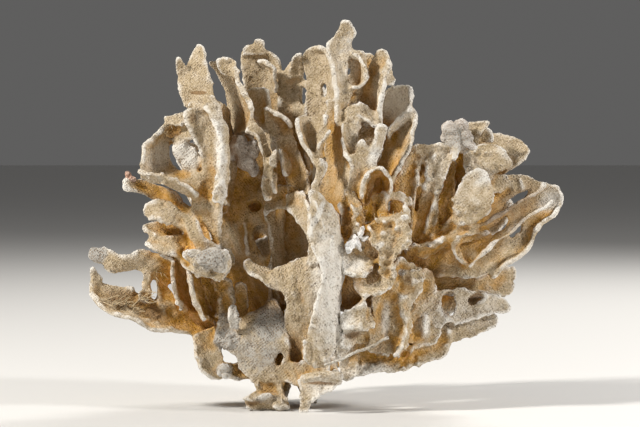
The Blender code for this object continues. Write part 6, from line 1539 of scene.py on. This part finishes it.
# the innermost walls get a painted amber glow, light painted as if it came through them, and are smoother
face = blend_colours(weathering_and_painted_light, ramp(weathering_and_painted_light, depth, 0.7, 1.5, 0.0, 0.4), face, given.outputs["Deep"], "ADD")
fine_grain = reckon(weathering_and_painted_light, "MULTIPLY", fine_noise, ramp(weathering_and_painted_light, deep, 0.2, 1.0, 1.5, 0.7))
tone = plus(weathering_and_painted_light, fine_grain, middle_noise, 0.6)
tone = plus(weathering_and_painted_light, tone, streaks, 0.7)
shade = add(weathering_and_painted_light, "HueSaturation")
wire(weathering_and_painted_light, reckon(weathering_and_painted_light, "ADD", tone, 1.0), shade.inputs["Value"])
wire(weathering_and_painted_light, reckon(weathering_and_painted_light, "SUBTRACT", 1.0, reckon(weathering_and_painted_light, "MULTIPLY", tone, 0.8)),
    shade.inputs["Saturation"])
wire(weathering_and_painted_light, face, shade.inputs["Color"])
face = shade.outputs["Color"]
# cream on the rims: partly bleached broken edges, partly painted highlight where the rims catch the light,
# fainter in deep places
ragged_edge = plus(weathering_and_painted_light, edge, middle_noise, 0.9)
ragged_edge = plus(weathering_and_painted_light, ragged_edge, fine_noise, 0.5)
ragged_edge = plus(weathering_and_painted_light, ragged_edge, bleached_and_lit, 1.1)
pale = reckon(weathering_and_painted_light, "MULTIPLY", ramp(weathering_and_painted_light, ragged_edge, 0.02, 1.05),
              ramp(weathering_and_painted_light, deep, 0.3, 1.2, 1.0, 0.3))
colour = blend_colours(weathering_and_painted_light, pale, face, given.outputs["Rim"])
grey = ramp(weathering_and_painted_light, plus(weathering_and_painted_light, crusted, middle_noise, 0.8), 0.25, 0.75)
colour = blend_colours(weathering_and_painted_light, grey, colour, given.outputs["Crust"])
# dirt together with painted shadow darkens the colour towards the stain and shadow colour
soiled_and_shaded = ramp(weathering_and_painted_light, plus(weathering_and_painted_light, dirt_and_shade, middle_noise, 1.1), 0.2, 0.9)
colour = blend_colours(weathering_and_painted_light, reckon(weathering_and_painted_light, "MULTIPLY", soiled_and_shaded, 0.85), colour, given.outputs["Stain_and_shadow"])
for label, value in (("Color", colour), ("Pale", pale), ("Deepness", deep), ("Crusted", grey)):
    wire(weathering_and_painted_light, value, put.inputs[label])


def limestone(name, face, deep, rim, pore_size=0.5, rough=0.85, bump=0.75):
    """Skeleton: bleached and stained limestone wall with its pores, with painted light and shade in its
    colour.
    """
    material = bpy.data.materials.new(name)
    material.use_nodes = True
    tree = material.node_tree
    shader = tree.nodes["Principled BSDF"]
    shader.inputs["Roughness"].default_value = rough
    shader.inputs["Specular IOR Level"].default_value = 0.25
    colour = add(tree, "Group", node_tree=weathering_and_painted_light)
    colour.inputs["Face"].default_value = (*face, 1)
    colour.inputs["Deep"].default_value = (*deep, 1)
    colour.inputs["Rim"].default_value = (*rim, 1)
    pitted = add(tree, "Group", node_tree=pores)
    pitted.inputs["Size"].default_value = pore_size * MM
    # the pore mouths are painted darker, painted shade inside them; they stand out where a net of crust
    # overlies them and fade where the colour runs deep
    seen = reckon(tree, "SUBTRACT", 0.34, reckon(tree, "MULTIPLY", colour.outputs["Deepness"], 0.26), True)
    seen = reckon(tree, "MULTIPLY", pitted.outputs["Pit"], seen)
    net = reckon(tree, "MULTIPLY", reckon(tree, "MULTIPLY", pitted.outputs["Mouth"],
        colour.outputs["Crusted"]), 0.5)
    dark = blend_colours(tree, reckon(tree, "MAXIMUM", seen, net), colour.outputs["Color"],
                         (0.30, 0.18, 0.08))
    specked = reckon(tree, "SUBTRACT", 0.5, reckon(tree, "MULTIPLY", colour.outputs["Deepness"], 0.3))
    dark = blend_colours(tree, reckon(tree, "MULTIPLY", pitted.outputs["Speck"], specked), dark,
        (0.17, 0.10, 0.05))
    wire(tree, dark, shader.inputs["Base Color"])
    relief = add(tree, "Bump")
    relief.inputs["Strength"].default_value = bump
    relief.inputs["Distance"].default_value = 0.0005
    wire(tree, pitted.outputs["Height"], relief.inputs["Height"])
    wire(tree, relief.outputs["Normal"], shader.inputs["Normal"])
    return material


skeleton = limestone("skeleton", (0.585, 0.47, 0.315), (0.545, 0.31, 0.085), (0.90, 0.86, 0.785))
grey_crust = limestone("grey_crust", (0.52, 0.445, 0.375), (0.38, 0.245, 0.15), (0.86, 0.83, 0.79))
pink_crust = limestone("pink_crust", (0.56, 0.34, 0.25), (0.46, 0.24, 0.15), (0.76, 0.62, 0.53))
calcite = limestone("calcite", (0.80, 0.79, 0.77), (0.62, 0.56, 0.48), (0.90, 0.90, 0.89), rough=0.5,
    bump=0.5)
pale_tube = limestone("pale_tube", (0.46, 0.40, 0.31), (0.34, 0.25, 0.14), (0.72, 0.68, 0.60))
pale_crust = limestone("pale_crust", (0.53, 0.475, 0.395), (0.36, 0.26, 0.16), (0.82, 0.79, 0.74))
finishes = (grey_crust, grey_crust, pale_crust, pink_crust, calcite, calcite, calcite, pale_tube, skeleton)
thread_stuff = limestone("fibre", (0.58, 0.47, 0.30), (0.45, 0.32, 0.16), (0.80, 0.74, 0.62), bump=0.2)
for piece, finish in [*zip(growths, finishes), (fibres, thread_stuff), *((limb, skeleton) for limb in limbs)]:
    piece.data.materials.clear()
    piece.data.materials.append(finish)
    take_up(piece)
    bpy.ops.object.shade_smooth()
